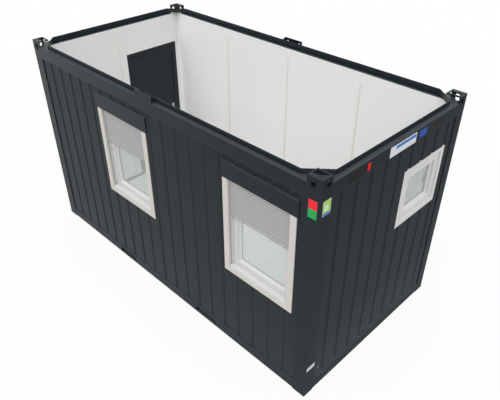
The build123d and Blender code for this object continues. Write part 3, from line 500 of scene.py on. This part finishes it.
def plank_floor(name, base, plank=0.178, run=1.2):
    """Pale wood-look vinyl laid in planks across the cabin."""
    finish = Finish(name)
    turned = finish.node("ShaderNodeMapping", None,
                         {"Vector": finish.whole(), "Rotation": (0.0, 0.0, math.pi / 2)})
    brick = finish.node("ShaderNodeTexBrick", {"offset": 0.37, "squash": 1.0},
                        {"Vector": turned, "Color1": rgba(shade(base, 1.04)),
                         "Color2": rgba(shade(base, 0.95)), "Mortar": rgba(shade(base, 0.66)),
                         "Scale": 1.0, "Mortar Size": 0.0016, "Mortar Smooth": 0.3, "Bias": 0.0,
                         "Brick Width": run, "Row Height": plank})
    joint = finish.outputs(brick, 1)[0]
    grain = finish.noise(16.0, 6.0, (1.0, 0.08, 1.0), 0.62)
    fine = finish.noise(90.0, 3.0, (1.0, 0.05, 1.0))
    streak = finish.steps(grain, [(0.38, 0.0), (0.66, 1.0)])
    tone = finish.mix(streak * 0.35, brick, shade(base, 0.84))
    return finish.surface(finish.mix(fine * 0.2, tone, (0.70, 0.64, 0.54)),
                          Roughness=0.48 + fine * 0.12,
                          Normal=finish.bump(grain * 0.3 - joint, 0.0004, 0.5))


def plain_plastic(name, base, gloss=0.38, ledge=1.0):
    """Moulded plastic or smooth coating with a very fine surface; its ledges painted lighter, as
    painted light.
    """
    finish = Finish(name)
    cloud = finish.noise(5.0)
    tone = finish.mottle(cloud, base, 0.98, 1.015)
    if ledge != 1.0:
        tone = finish.mix(finish.facing_up(), tone, shade(base, ledge))
    return finish.surface(tone, Roughness=gloss + (cloud - 0.5) * 0.08,
                          Normal=finish.grain(650.0, 0.00003), Specular_IOR_Level=0.3)


def slat_coating(name, base, bottom):
    """Painted slats with painted light and shade across each slat, darkest in their joints, above a
    bottom bar with its own grooves in painted shade.
    """
    finish = Finish(name)
    height = finish.axes()[2]
    cloud = finish.noise(4.0)
    above = height - (bottom + BOTTOM_BAR)
    spare = 20.0  # whole slats that keep the count above zero under the bar
    slat = (above / SLAT_PITCH + spare).fraction()
    half = (above * 2.0 / SLAT_PITCH + spare).fraction()
    # painted light and shade across each slat, darkest in the joints, and on the bottom bar's grooves
    slats = finish.steps(slat, [(0.0, 0.72), (0.18, 0.95), (0.5, 1.0), (0.82, 0.88), (1.0, 0.70)])
    ribs = finish.steps(half, [(0.0, 0.88), (0.5, 1.0), (1.0, 0.88)])
    low = finish.between(height, bottom - 0.01, bottom + BOTTOM_BAR + SLAT_PITCH)
    level = slats * (1 - low) + ribs * low
    tone = finish.mix(1 - level, finish.mottle(cloud, base, 0.98, 1.02), BLACK)
    return finish.surface(tone, Roughness=0.46 + cloud * 0.08,
                          Normal=finish.bump(level, 0.0006, 0.4), Specular_IOR_Level=0.3)


def brushed_metal(name, base):
    """Fine brushed metal."""
    finish = Finish(name)
    hair = finish.noise(700.0, 2.0)
    return finish.surface(finish.mottle(hair, base, 0.90, 1.08), Metallic=0.9,
                          Roughness=0.30 + hair * 0.16, Normal=finish.bump(hair, 0.00004, 0.5))


def rubber_seal(name, base):
    """Rubber or sealant with a dry bloom."""
    finish = Finish(name)
    bloom = finish.noise(40.0, 4.0)
    return finish.surface(finish.mix(bloom, base, shade(base, 1.3)),
                          Roughness=0.70 + bloom * 0.15, Normal=finish.grain(PEEL, 0.00004),
                          Specular_IOR_Level=0.1)


def glass_with_painted_reflection(name, base, painted_reflection=0.36):
    """Insulating glass that shows the room pale behind a painted reflection, a light even veil."""
    finish = Finish(name)
    cloud = finish.noise(2.5, 2.0)
    clear = finish.node("ShaderNodeBsdfTransparent", None, {"Color": (0.93, 0.96, 0.95, 1.0)})
    body = finish.node("ShaderNodeBsdfPrincipled", None,
                       {"Base Color": finish.mottle(cloud, base, 0.98, 1.02),
                        "Roughness": 0.04, "Specular IOR Level": 0.3})
    share = painted_reflection + (cloud - 0.5) * 0.01
    return finish.put_out(finish.node("ShaderNodeMixShader", None, {0: share, 1: clear, 2: body}))


def dress(material, *nodes):
    """Gives CAD nodes their finish."""
    for node in nodes:
        slots = NODES[node].material_slots
        if not slots:
            NODES[node].data.materials.append(material)
        for slot in slots:
            slot.material = material


# ---- mesh pieces
def piece(name, build, material, slot, body="cabin", bevel=None, smooth=False, **sizes):
    """A new object that rides on a body, from a function that fills a bmesh.

    The function gets every further value by its name.
    """
    mesh = bpy.data.meshes.new(name)
    bm = bmesh.new()
    build(bm, **sizes)
    bmesh.ops.recalc_face_normals(bm, faces=bm.faces)
    for face in bm.faces:
        face.smooth = smooth
    bm.to_mesh(mesh)
    bm.free()
    mesh.materials.append(material)
    thing = bpy.data.objects.new(name, mesh)
    bpy.context.scene.collection.objects.link(thing)
    if bevel:
        modifier = thing.modifiers.new("edge", "BEVEL")
        modifier.width = bevel
        modifier.segments = 2
        modifier.limit_method = "ANGLE"
    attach(thing, body)


def add_box(bm, low, high):
    """An axis-aligned box into a bmesh."""
    low, high = Vector(low), Vector(high)
    size = [abs(reach) for reach in high - low]
    bmesh.ops.create_cube(bm, size=1.0, matrix=Matrix.LocRotScale((low + high) / 2, None, size))


def prism(bm, outline, way):
    """A solid from a flat outline pushed along a vector."""
    ends = [[bm.verts.new(Vector(point) + shift) for point in outline]
            for shift in (Vector(), way)]
    bm.faces.new(ends[0])
    bm.faces.new(ends[1])
    for k in range(len(outline)):
        n = (k + 1) % len(outline)
        bm.faces.new((ends[0][k], ends[0][n], ends[1][n], ends[1][k]))


def spot(wall, along, height, out):
    """A point on a wall: along it, above the ground, and out from the middle."""
    normal, run = wall
    return run * along + UP * height + normal * out


def looped(bm, wall, loops):
    """A closed frame through rectangles, each with its two corners and how far out."""
    rings = []
    for (left, bottom), (right, top), out in loops:
        corners = ((left, bottom), (right, bottom), (right, top), (left, top))
        rings.append([bm.verts.new(spot(wall, *corner, out)) for corner in corners])
    for first, second in zip(rings, rings[1:] + rings[:1]):
        for k in range(4):
            n = (k + 1) % 4
            bm.faces.new((first[k], first[n], second[n], second[k]))


def mitred(bm, wall, low, high, profile):
    """A frame round a rectangle; its profile gives inset and how far out."""
    looped(bm, wall, [((low[0] + inset, low[1] + inset), (high[0] - inset, high[1] - inset), out)
                      for inset, out in profile])


def revolve(bm, profile, centre, axis, segments=20, closed=False):
    """A turned shape from (radius, height) points along an axis."""
    centre, axis = Vector(centre), Vector(axis).normalized()
    side = axis.orthogonal().normalized()
    other = axis.cross(side)
    angles = [math.tau * k / segments for k in range(segments)]
    arms = [side * math.cos(angle) + other * math.sin(angle) for angle in angles]
    rings = []
    for radius, height in profile:
        foot = centre + axis * height
        rings.append([bm.verts.new(foot + arm * radius) for arm in (arms if radius else arms[:1])])
    last = rings[1:] + rings[:1] if closed else rings[1:]
    for first, second in zip(rings, last):
        for k in range(segments):
            n = k + 1
            corners = (first[k % len(first)], first[n % len(first)],
                       second[n % len(second)], second[k % len(second)])
            bm.faces.new(tuple(dict.fromkeys(corners)))


def screw_head(bm, centre, axis, radius):
    """A raised screw head with a round socket."""
    profile = [(across * radius, height * radius) for across, height in SCREW_HEAD]
    revolve(bm, profile, centre, axis, segments=16)


def bead(bm, start, end, across, out, radius, ripple=0.0, arc=4):
    """A quarter-round bead in a corner, rippled like a weld where a ripple is given."""
    start, end = Vector(start), Vector(end)
    count = 2 * max(1, round((end - start).length / ripple)) if ripple else 1
    angles = [math.pi / 2 * step / arc for step in range(arc + 1)]
    arms = [across * math.cos(angle) + out * math.sin(angle) for angle in angles]
    rings = []
    for k in range(count + 1):
        size = radius * (0.80 if ripple and k % 2 else 1.0)
        foot = start.lerp(end, k / count)
        rings.append([bm.verts.new(foot + arm * size) for arm in (Vector(), *arms)])
    for first, second in zip(rings, rings[1:]):
        for k in range(arc + 2):
            n = (k + 1) % (arc + 2)
            bm.faces.new((first[k], first[n], second[n], second[k]))
    bm.faces.new(rings[0])
    bm.faces.new(rings[-1])


# ---- places in the frame
def corners_of(node):
    """A node's lowest and highest corners as vectors."""
    low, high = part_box(node)
    return Vector(low), Vector(high)


def plan(node, wall):
    """A node's rectangle on its wall, with how far out its outer and inner faces are."""
    low, high = corners_of(node)
    normal, run = wall
    axis = 0 if abs(run.x) else 1
    inner, outer = sorted((low.dot(normal), high.dot(normal)))
    return (low[axis], low.z), (high[axis], high.z), outer, inner


def joint_place(name):
    """A point on a joint's axis."""
    return next(joint["pos_m"] for joint in frame["record"]["behaviour"]["joints"]
                if joint["name"] == name)


# ---- makers
def corner_plates(bm):
    """Plates that carry the ledge into the castings, cut off slantwise."""
    level = corners_of("lifting_brackets")[0].z - LEDGE_PLATE - LEDGE_DROP
    long = HIGH.x - corners_of("front_wall")[1].x
    short = HIGH.y - corners_of("right_wall")[1].y
    wall = CASTING_WALL
    reach, depth = long - wall * long / short, short - wall * short / long
    outline = ((reach, wall), (long - HAIR, wall), (long - HAIR, short - HAIR),
               (wall, short - HAIR), (wall, depth))
    for sx, sy in CORNERS:
        base = [(sx * (HIGH.x - x), sy * (HIGH.y - y), level) for x, y in outline]
        prism(bm, base, UP * LEDGE_PLATE)


def flashings(bm):
    """Sloping drip strips over the shutter boxes."""
    for number in SHUTTERED:
        low, high = corners_of(f"window_{number}_shutter_box")
        wall = corners_of("front_wall")[0].y - HAIR
        edge, foot = low.y + HAIR, high.z + HAIR
        prism(bm, ((low.x, edge, foot), (low.x, wall, foot), (low.x, wall, foot + FLASHING)),
              Vector((high.x - low.x, 0.0, 0.0)))


class CABIN_OT_steel(bpy.types.Operator):
    """Paint the posts, rails, castings and cladding"""
    bl_idname = "cabin.steel"
    bl_label = "Steel frame and cladding"

    def execute(self, context):
        tint = context.scene.cabin_colours
        dress(coated_steel("frame coat", tint.frame),
              "side_rails", "end_rails", "fork_pockets", "lifting_brackets")
        dress(coated_steel("casting coat", tint.frame, ledge=1.0), "top_castings", "bottom_castings")
        # painted highlight along the top of the shutter boxes' fronts
        fold = corners_of("window_1_shutter_box")[1].z
        fold_highlight = (fold - 0.009, fold + 0.001, 0.4)
        box = coated_steel("shutter box coat", tint.frame, ledge=1.2, painted_highlights=[fold_highlight])
        dress(box, *(f"window_{number}_shutter_box" for number in SHUTTERED))
        dress(coated_steel("post coat", tint.frame, plates=POST_PLATES), "corner_posts")
        low, high = (corner.z for corner in corners_of("top_rails"))
        ledge = corners_of("lifting_brackets")[0].z
        # painted highlight along the fascia's foot, and painted light on the upstand above the ledge
        foot_highlight = (low - 0.001, low + 0.007, 0.4)
        upstand_light = (ledge + 0.0005, high - 0.0005, 0.2)
        rail = coated_steel("rail coat", tint.frame, plates=FASCIA_PLATES,
                            painted_highlights=[foot_highlight, upstand_light])
        dress(rail, "top_rails", "corner_gussets")
        piece("corner_plates", corner_plates, rail, "frame_steel")
        piece("flashings", flashings, box, "frame_steel")
        painted_shade_strips = []
        for number in SHUTTERED:
            under, over = corners_of(f"window_{number}_shutter_box")
            painted_shade_strips.append((under.x, over.x, over.z, low))
        dress(ribbed_sheet("front cladding", tint.cladding, gloss=0.13, groove_light=1.0,
                           shaded=painted_shade_strips), "front_wall")
        dress(ribbed_sheet("back cladding", tint.cladding, gloss=0.13, groove_light=1.0), "back_wall")
        dress(ribbed_sheet("end cladding", tint.lit_end_cladding, gloss=0.01, top_shade=0.28),
              "right_wall", "left_wall")
        dress(coated_steel("underframe primer", PRIMER, dust=0.6), "floor_frame")
        return {"FINISHED"}


def sheet_shade_beads(bm, node, wall, radius):
    """Dark beads under the fascia and beside both posts: painted shade along those edges."""
    normal, run = wall
    (_, bottom), (half, _), flat, _ = plan(node, wall)
    top = corners_of("top_rails")[0].z
    bead(bm, spot(wall, -half, top, flat), spot(wall, half, top, flat), -UP, normal, radius)
    for side in (-1, 1):
        bead(bm, spot(wall, side * half, bottom, flat), spot(wall, side * half, top, flat),
             run * -side, normal, radius)


def sheet_foot(bm, node, wall, radius):
    """The painted bead along the top of the bottom rail."""
    (_, bottom), (half, _), flat, _ = plan(node, wall)
    half -= radius
    bead(bm, spot(wall, -half, bottom, flat), spot(wall, half, bottom, flat), UP, wall[0],
         radius * 0.8)


def bracket_welds(bm, radius):
    """Rippled beads along the feet of the lifting brackets."""
    low, high = corners_of("lifting_brackets")
    plate, cheek, start, end = 0.008, 0.007, 0.003, 0.055
    inner, front, back = high.y - plate, high.y - start, high.y - end
    for wall in (FRONT, BACK):
        normal, run = wall
        bead(bm, spot(wall, low.x + cheek, low.z, inner),
             spot(wall, high.x - cheek, low.z, inner), -normal, UP, radius, WELD_STEP)
        for side in (-1, 1):
            bead(bm, spot(wall, side * high.x, low.z, front),
                 spot(wall, side * high.x, low.z, back), run * side, UP, radius, WELD_STEP)


def corner_covers(bm):
    """Folded covers over the linings' corners, seen through the castings."""
    low, high = corners_of("corner_linings")
    foot, top = corners_of("corner_posts")[1].z, high.z - HAIR
    edge_x = corners_of("front_wall")[1].x + HAIR
    edge_y = corners_of("right_wall")[1].y + HAIR
    for sx, sy in CORNERS:
        x, y = sx * high.x, sy * high.y
        near_x, near_y = x + sx * HAIR, y + sy * HAIR
        far_x, far_y = x + sx * COVER_SHEET, y + sy * COVER_SHEET
        for start, end_x, end_y in ((foot, sx * edge_x, sy * edge_y),
                                    (low.z, x - sx * COVER_BACK, y - sy * COVER_BACK)):
            add_box(bm, (far_x, near_y, start + HAIR), (end_x, far_y, top))
            add_box(bm, (near_x, near_y, start + HAIR), (far_x, end_y, top))


class CABIN_OT_seams(bpy.types.Operator):
    """Lay beads along the sheets' edges, the dark ones as painted shade, weld the brackets and cover
    the linings' corners
    """
    bl_idname = "cabin.seams"
    bl_label = "Seams, welds and covers"

    def execute(self, context):
        tint = context.scene.cabin_colours
        sizes = context.scene.cabin_sizes
        # painted shade: dark beads where the fascia and posts meet the sheets
        sheet_bead = rubber_seal("sheet sealant", shade(tint.cladding, 0.55))
        weld = coated_steel("weld coat", shade(tint.frame, 1.2))
        for node, wall in WALLS.items():
            sheet = {"node": node, "wall": wall, "radius": sizes.sheet_bead}
            piece(f"{node}_sealant", sheet_shade_beads, sheet_bead, "frame_steel", **sheet)
            piece(f"{node}_foot", sheet_foot, weld, "frame_steel", **sheet)
        piece("bracket_welds", bracket_welds, weld, "frame_steel", radius=sizes.weld)
        piece("corner_covers", corner_covers, coated_steel("cover coat", tint.frame, ledge=1.0),
              "frame_steel")
        return {"FINISHED"}


def corner_trims(bm, radius):
    """Quarter rounds up the four corners of the room."""
    room = corners_of("skirting")[1]
    clear = 0.004
    top = corners_of("front_lining")[1].z - clear
    for sx, sy in CORNERS:
        x, y = sx * room.x, sy * room.y
        bead(bm, (x, y, room.z), (x, y, top), Vector((-sx, 0, 0)), Vector((0, -sy, 0)), radius)


class CABIN_OT_room(bpy.types.Operator):
    """Finish the boards, strips, skirting and floor"""
    bl_idname = "cabin.room"
    bl_label = "Room"

    def execute(self, context):
        tint = context.scene.cabin_colours
        room = corners_of("skirting")[1]
        white = board("lining board", tint.lining, room.x, room.y, lift=1.0)
        dress(white, "front_lining", "back_lining", "right_lining", "corner_linings")
        dress(board("end lining board", tint.shaded_end_lining, room.x, room.y), "left_lining")
        dress(plain_plastic("joint strip", tint.strip), "joint_strips")
        dress(plain_plastic("skirting board", tint.skirting), "skirting")
        dress(plank_floor("floor planks", tint.floor), "floor_deck")
        piece("corner_trims", corner_trims, white, "lining_board", smooth=True,
              radius=context.scene.cabin_sizes.trim)
        return {"FINISHED"}


def pane_gaskets(bm, window, wall, width):
    """A wedge gasket against each face of the pane."""
    low, high, outer, inner = plan(f"{window}_pane", wall)
    sunk, rise = 0.0004, 0.0032
    mitred(bm, wall, low, high, [(-0.004, outer + rise), (width * 0.7, outer + rise),
                                 (width, outer - sunk), (0.0, outer - sunk)])
    mitred(bm, wall, low, high, [(0.0, inner + sunk), (width, inner + sunk),
                                 (width * 0.6, inner - rise), (0.0, inner - rise)])


def window_handle(bm, window, wall):
    """The inside handle: a plate, a neck and a grip that hangs down."""
    low, high, _, inner = plan(f"{window}_sash", wall)
    along = (high[0] + plan(f"{window}_pane", wall)[1][0]) / 2
    level = (low[1] + high[1]) / 2
    plate_half, plate_reach, face = 0.015, 0.034, inner - 0.009
    grip_half, hang, over = 0.010, 0.118, 0.012
    grip_back, grip_front = inner - 0.030, inner - 0.042
    add_box(bm, spot(wall, along - plate_half, level - plate_reach, inner),
            spot(wall, along + plate_half, level + plate_reach, face))
    revolve(bm, HANDLE_NECK, spot(wall, along, level, face), -wall[0])
    add_box(bm, spot(wall, along - grip_half, level - hang, grip_back),
            spot(wall, along + grip_half, level + over, grip_front))


def hinge_covers(bm, window, wall):
    """Covers over the two hinges, on the room's side of the sash."""
    low, high, _, inner = plan(f"{window}_sash", wall)
    cover, corner, aside, proud = HINGE_COVER[-1][1], 0.045, 0.008, 0.006
    along, out = low[0] + aside, inner - proud
    for level in (low[1] + corner, high[1] - corner - cover):
        revolve(bm, HINGE_COVER, spot(wall, along, level, out), UP)


def curtain_rubber(bm, window):
    """The rubber lip under the curtain's bottom bar."""
    low, high = corners_of(f"{window}_shutter")
    inset, slack, drop = 0.016, 0.0015, 0.005
    add_box(bm, (low.x + inset, low.y + slack, low.z - drop), (high.x - inset, high.y - slack, low.z))


class CABIN_OT_windows(bpy.types.Operator):
    """Finish the windows and roller shutters"""
    bl_idname = "cabin.windows"
    bl_label = "Windows"

    def execute(self, context):
        tint = context.scene.cabin_colours
        width = context.scene.cabin_sizes.gasket
        # painted light: the plastics' ledges are lighter
        front_plastic = plain_plastic("window plastic", tint.window, 0.32, ledge=1.18)
        # window 3's plastic is painted darker, as shade, and its ledges lighter still
        end_plastic = plain_plastic("end window plastic", shade(tint.window, 0.95), 0.32,
                                    ledge=1.38)
        guide = plain_plastic("guide coating", tint.guide, 0.45, ledge=1.05)
        gasket = rubber_seal("glazing gasket", tint.gasket)
        lip = rubber_seal("curtain lip", tint.lip)
        for number, painted_reflection in PANE_PAINTED_REFLECTION.items():
            wall = FRONT if number in SHUTTERED else RIGHT
            plastic = front_plastic if number in SHUTTERED else end_plastic
            window = f"window_{number}"
            where = {"window": window, "wall": wall}
            dress(plastic, f"{window}_frame", f"{window}_sash")
            dress(glass_with_painted_reflection(f"{window} pane", shade(tint.glass, painted_reflection)), f"{window}_pane")
            piece(f"{window}_gaskets", pane_gaskets, gasket, "window_plastic", width=width, **where)
            piece(f"{window}_handle", window_handle, plastic, "window_plastic", bevel=0.003, **where)
            piece(f"{window}_hinge_covers", hinge_covers, plastic, "window_plastic", smooth=True,
                  **where)
        for number in SHUTTERED:
            window = f"window_{number}"
            bottom = corners_of(f"{window}_shutter")[0].z
            dress(guide, f"{window}_surround")
            dress(slat_coating("slats", tint.curtain, bottom), f"{window}_shutter")
            piece(f"{window}_curtain_rubber", curtain_rubber, lip, "shutter_slats", window=window)
        dress(plain_plastic("cap", tint.cap, 0.4), "service_cap")
        return {"FINISHED"}


def lock_faces():
    """Where the lever's axis meets both lock plates, with the way that each plate looks."""
    low, high = corners_of("door_lock_plates")
    _, y, z = joint_place("lever_turn")
    return ((low.x, y, z), Vector((-1, 0, 0))), ((high.x, y, z), Vector((1, 0, 0)))


def door_seal(bm):
    """A rubber strip on the stop, all round the leaf but its foot."""
    low, high = corners_of("door_leaf")
    joint, deep, inset, wide = 0.0006, 0.0062, 0.002, 0.009
    front, back = high.x + joint, high.x + deep
    left, right, top = low.y + inset, high.y - inset, high.z - inset
    add_box(bm, (front, left, low.z), (back, left + wide, top))
    add_box(bm, (front, right - wide, low.z), (back, right, top))
    add_box(bm, (front, left, top - wide), (back, right, top))


def lever_collars(bm):
    """Rings round the lever's neck."""
    for place, way in lock_faces():
        revolve(bm, LEVER_COLLAR, place, way, LOCK_SIDES, closed=True)


def lock_cylinders(bm):
    """The lock's cylinder on both sides, with its flat foot."""
    half, tall, thick, drop = 0.005, 0.018, 0.002, LOCK_DROP + 0.022
    for (x, y, z), way in lock_faces():
        revolve(bm, LOCK_CYLINDER, (x, y, z - LOCK_DROP), way, LOCK_SIDES)
        low = Vector((x, y - half, z - drop))
        add_box(bm, low, low + Vector((0, 2 * half, tall)) + way * thick)


def keyways(bm):
    """The narrow slot for the key."""
    half, tall, drop = 0.0006, 0.0085, LOCK_DROP + 0.0045
    back, front = 0.0012, 0.0031
    for (x, y, z), way in lock_faces():
        low = Vector((x, y - half, z - drop))
        add_box(bm, low + way * back, low + Vector((0, 2 * half, tall)) + way * front)


def plate_screws(bm, radius):
    """A screw near each end of the lock plates."""
    low, high = corners_of("door_lock_plates")
    inset = 0.010
    for (x, y, _), way in lock_faces():
        for level in (low.z + inset, high.z - inset):
            screw_head(bm, (x, y, level), way, radius)


def latch(bm):
    """The lock's front plate with its bolt, on the leaf's edge."""
    low, high = corners_of("door_leaf")
    middle, z = (low.x + high.x) / 2, joint_place("lever_turn")[2]
    under, over = LATCH_REACH
    plate, proud, sunk = 0.011, LOCK_SHEET, 0.0005
    bolt, bolt_reach, throw = 0.006, 0.010, 0.0055
    add_box(bm, (middle - plate, high.y - sunk, z - under), (middle + plate, high.y + proud, z + over))
    add_box(bm, (middle - bolt, high.y, z - bolt_reach),
            (middle + bolt, high.y + throw, z + bolt_reach))


def strike_plate(bm):
    """The plate on the jamb that takes the bolt."""
    low, high = corners_of("door_leaf")
    middle, z = (low.x + high.x) / 2, joint_place("lever_turn")[2]
    under, over = LATCH_REACH
    plate, mouth, mouth_reach, joint, sunk = 0.013, 0.008, 0.014, 0.007, 0.0004
    jamb = -(high.y + joint)
    front, back = jamb + LOCK_SHEET, jamb - sunk
    outer = ((middle - plate, z - under), (middle + plate, z + over))
    hole = ((middle - mouth, z - mouth_reach), (middle + mouth, z + mouth_reach))
    looped(bm, FRONT, [(*outer, front), (*outer, back), (*hole, back), (*hole, front)])


def threshold_screws(bm, radius):
    """Four screws along the threshold, outside the leaf."""
    low, high = corners_of("door_threshold")
    end, edge, count = 0.12, 0.020, 4
    for k in range(count):
        y = low.y + end + (high.y - low.y - 2 * end) * k / (count - 1)
        screw_head(bm, (low.x + edge, y, high.z), UP, radius)


def hinge_caps(bm, way):
    """Domed caps on the upper or the lower ends of the three hinges."""
    x, y, _ = joint_place("door_hinge")
    foot, top = corners_of("door_hinges_jamb")[0].z, corners_of("door_hinges_leaf")[1].z
    for level in (foot, (foot + top - HINGE) / 2, top - HINGE):
        z = level + HINGE if way.z > 0 else level
        revolve(bm, HINGE_CAP, (x, y, z), way)


class CABIN_OT_door(bpy.types.Operator):
    """Finish the door and its fittings"""
    bl_idname = "cabin.door"
    bl_label = "Door"

    def execute(self, context):
        tint = context.scene.cabin_colours
        radius = context.scene.cabin_sizes.screw
        coat = coated_steel("door coat", tint.door, dust=0.15, ledge=1.5)
        dress(coat, "door_leaf", "door_frame", "door_hinges_leaf", "door_hinges_jamb")
        metal = brushed_metal("door fittings", tint.metal)
        dress(metal, "door_lever", "door_lock_plates", "door_threshold")
        rubber = rubber_seal("door rubber", tint.rubber)
        piece("door_seal", door_seal, rubber, "door_sheet", bevel=0.0015)
        piece("lever_collars", lever_collars, metal, "lever_metal", "door", smooth=True)
        piece("lock_cylinders", lock_cylinders, metal, "lever_metal", "door")
        piece("keyways", keyways, rubber, "lever_metal", "door")
        piece("plate_screws", plate_screws, metal, "lever_metal", "door", smooth=True,
              radius=radius * 0.8)
        piece("latch", latch, metal, "lever_metal", "door", bevel=0.0008)
        piece("strike_plate", strike_plate, metal, "threshold_metal")
        piece("threshold_screws", threshold_screws, metal, "threshold_metal", smooth=True,
              radius=radius)
        piece("hinge_caps_leaf", hinge_caps, coat, "hinge_steel", "door", smooth=True, way=UP)
        piece("hinge_caps_jamb", hinge_caps, coat, "hinge_steel", smooth=True, way=-UP)
        return {"FINISHED"}


def pale_ground():
    """A pale ground that keeps the cabin's shadow and is seen almost white."""
    mesh = bpy.data.meshes.new("ground")
    reach = 60.0
    corners = ((-reach, -reach), (reach, -reach), (reach, reach), (-reach, reach))
    mesh.from_pydata([(x, y, GROUND) for x, y in corners], [], [(0, 1, 2, 3)])
    finish = Finish("ground")
    rays = ("Is Camera Ray", "Is Glossy Ray", "Is Transmission Ray")
    camera, glossy, through = finish.outputs(finish.node("ShaderNodeLightPath"), *rays)
    direct = camera.or_more(glossy).or_more(through)
    tone = finish.mix(finish.noise(3.0, 2.0), (0.80, 0.80, 0.80), (0.81, 0.81, 0.81))
    matt = finish.node("ShaderNodeBsdfPrincipled", None,
                       {"Base Color": tone, "Roughness": 1.0, "Specular IOR Level": 0.0})
    glow = finish.node("ShaderNodeEmission", None, {"Color": rgba(WHITE), "Strength": 1.0})
    both = finish.node("ShaderNodeMixShader", None, {0: direct * 0.9, 1: matt, 2: glow})
    mesh.materials.append(finish.put_out(both))
    ground = bpy.data.objects.new("ground", mesh)
    bpy.context.scene.collection.objects.link(ground)


def even_sky(power):
    """Even light from all round, seen as plain white."""
    finish = Finish("sky", "worlds")
    camera = finish.outputs(finish.node("ShaderNodeLightPath"), "Is Camera Ray")[0]
    even, white = (finish.node("ShaderNodeBackground", None,
                               {"Color": rgba(WHITE), "Strength": level})
                   for level in (power, 1.0))
    both = finish.node("ShaderNodeMixShader", None, {0: camera, 1: even, 2: white})
    return finish.put_out(both, "ShaderNodeOutputWorld")


def soft_sun(power):
    """A very soft light from above, over the camera's shoulder."""
    data = bpy.data.lights.new("soft sun", "SUN")
    data.energy = power
    data.angle = math.radians(70)
    lamp = bpy.data.objects.new("soft sun", data)
    aim = Vector((-0.30, 0.58, -1.0))
    lamp.rotation_euler = aim.to_track_quat("-Z", "Y").to_euler()
    bpy.context.scene.collection.objects.link(lamp)


class CABIN_OT_stage(bpy.types.Operator):
    """Set the floor, the light and the camera"""
    bl_idname = "cabin.stage"
    bl_label = "Stage"

    def execute(self, context):
        setup = context.scene.cabin_stage
        scene = context.scene
        scene.view_settings.view_transform = "Standard"
        pale_ground()
        scene.world = even_sky(setup.world)
        soft_sun(setup.lamp)
        camera = bpy.data.objects.new("camera", bpy.data.cameras.new("camera"))
        camera.data.lens = setup.focal
        camera.data.sensor_width = 36.0
        camera.data.clip_end = 200.0
        camera.location = setup.eye
        camera.rotation_euler = (math.pi / 2 - setup.elevation, 0.0, setup.azimuth)
        scene.collection.objects.link(camera)
        scene.camera = camera
        return {"FINISHED"}


class CABIN_PT_panel(bpy.types.Panel):
    """The cabin's makers and settings in the sidebar"""
    bl_idname = "CABIN_PT_panel"
    bl_label = "Site Cabin"
    bl_space_type = "VIEW_3D"
    bl_region_type = "UI"
    bl_category = "Cabin"

    def draw(self, context):
        layout = self.layout
        for group in GROUPS:
            settings = getattr(context.scene, group)
            for key in settings.__annotations__:
                layout.prop(settings, key)
        for maker in OPERATORS:
            layout.operator(maker.bl_idname)


GROUPS = {"cabin_colours": CabinColours, "cabin_sizes": CabinSizes, "cabin_stage": CabinStage}
OPERATORS = (CABIN_OT_steel, CABIN_OT_seams, CABIN_OT_room, CABIN_OT_windows, CABIN_OT_door,
             CABIN_OT_stage)
CLASSES = (*GROUPS.values(), *OPERATORS, CABIN_PT_panel)


def register():
    """Registers the classes and hangs the settings on the scene."""
    for kind in CLASSES:
        bpy.utils.register_class(kind)
    for name, group in GROUPS.items():
        setattr(bpy.types.Scene, name, bpy.props.PointerProperty(type=group))


def unregister():
    """Takes back what register did."""
    for name in GROUPS:
        delattr(bpy.types.Scene, name)
    for kind in reversed(CLASSES):
        bpy.utils.unregister_class(kind)


def main():
    """Registers the add-on's classes and makes everything."""
    register()
    for maker in OPERATORS:
        getattr(bpy.ops.cabin, maker.bl_idname.split(".")[1])()


if __name__ == "__main__":
    main()
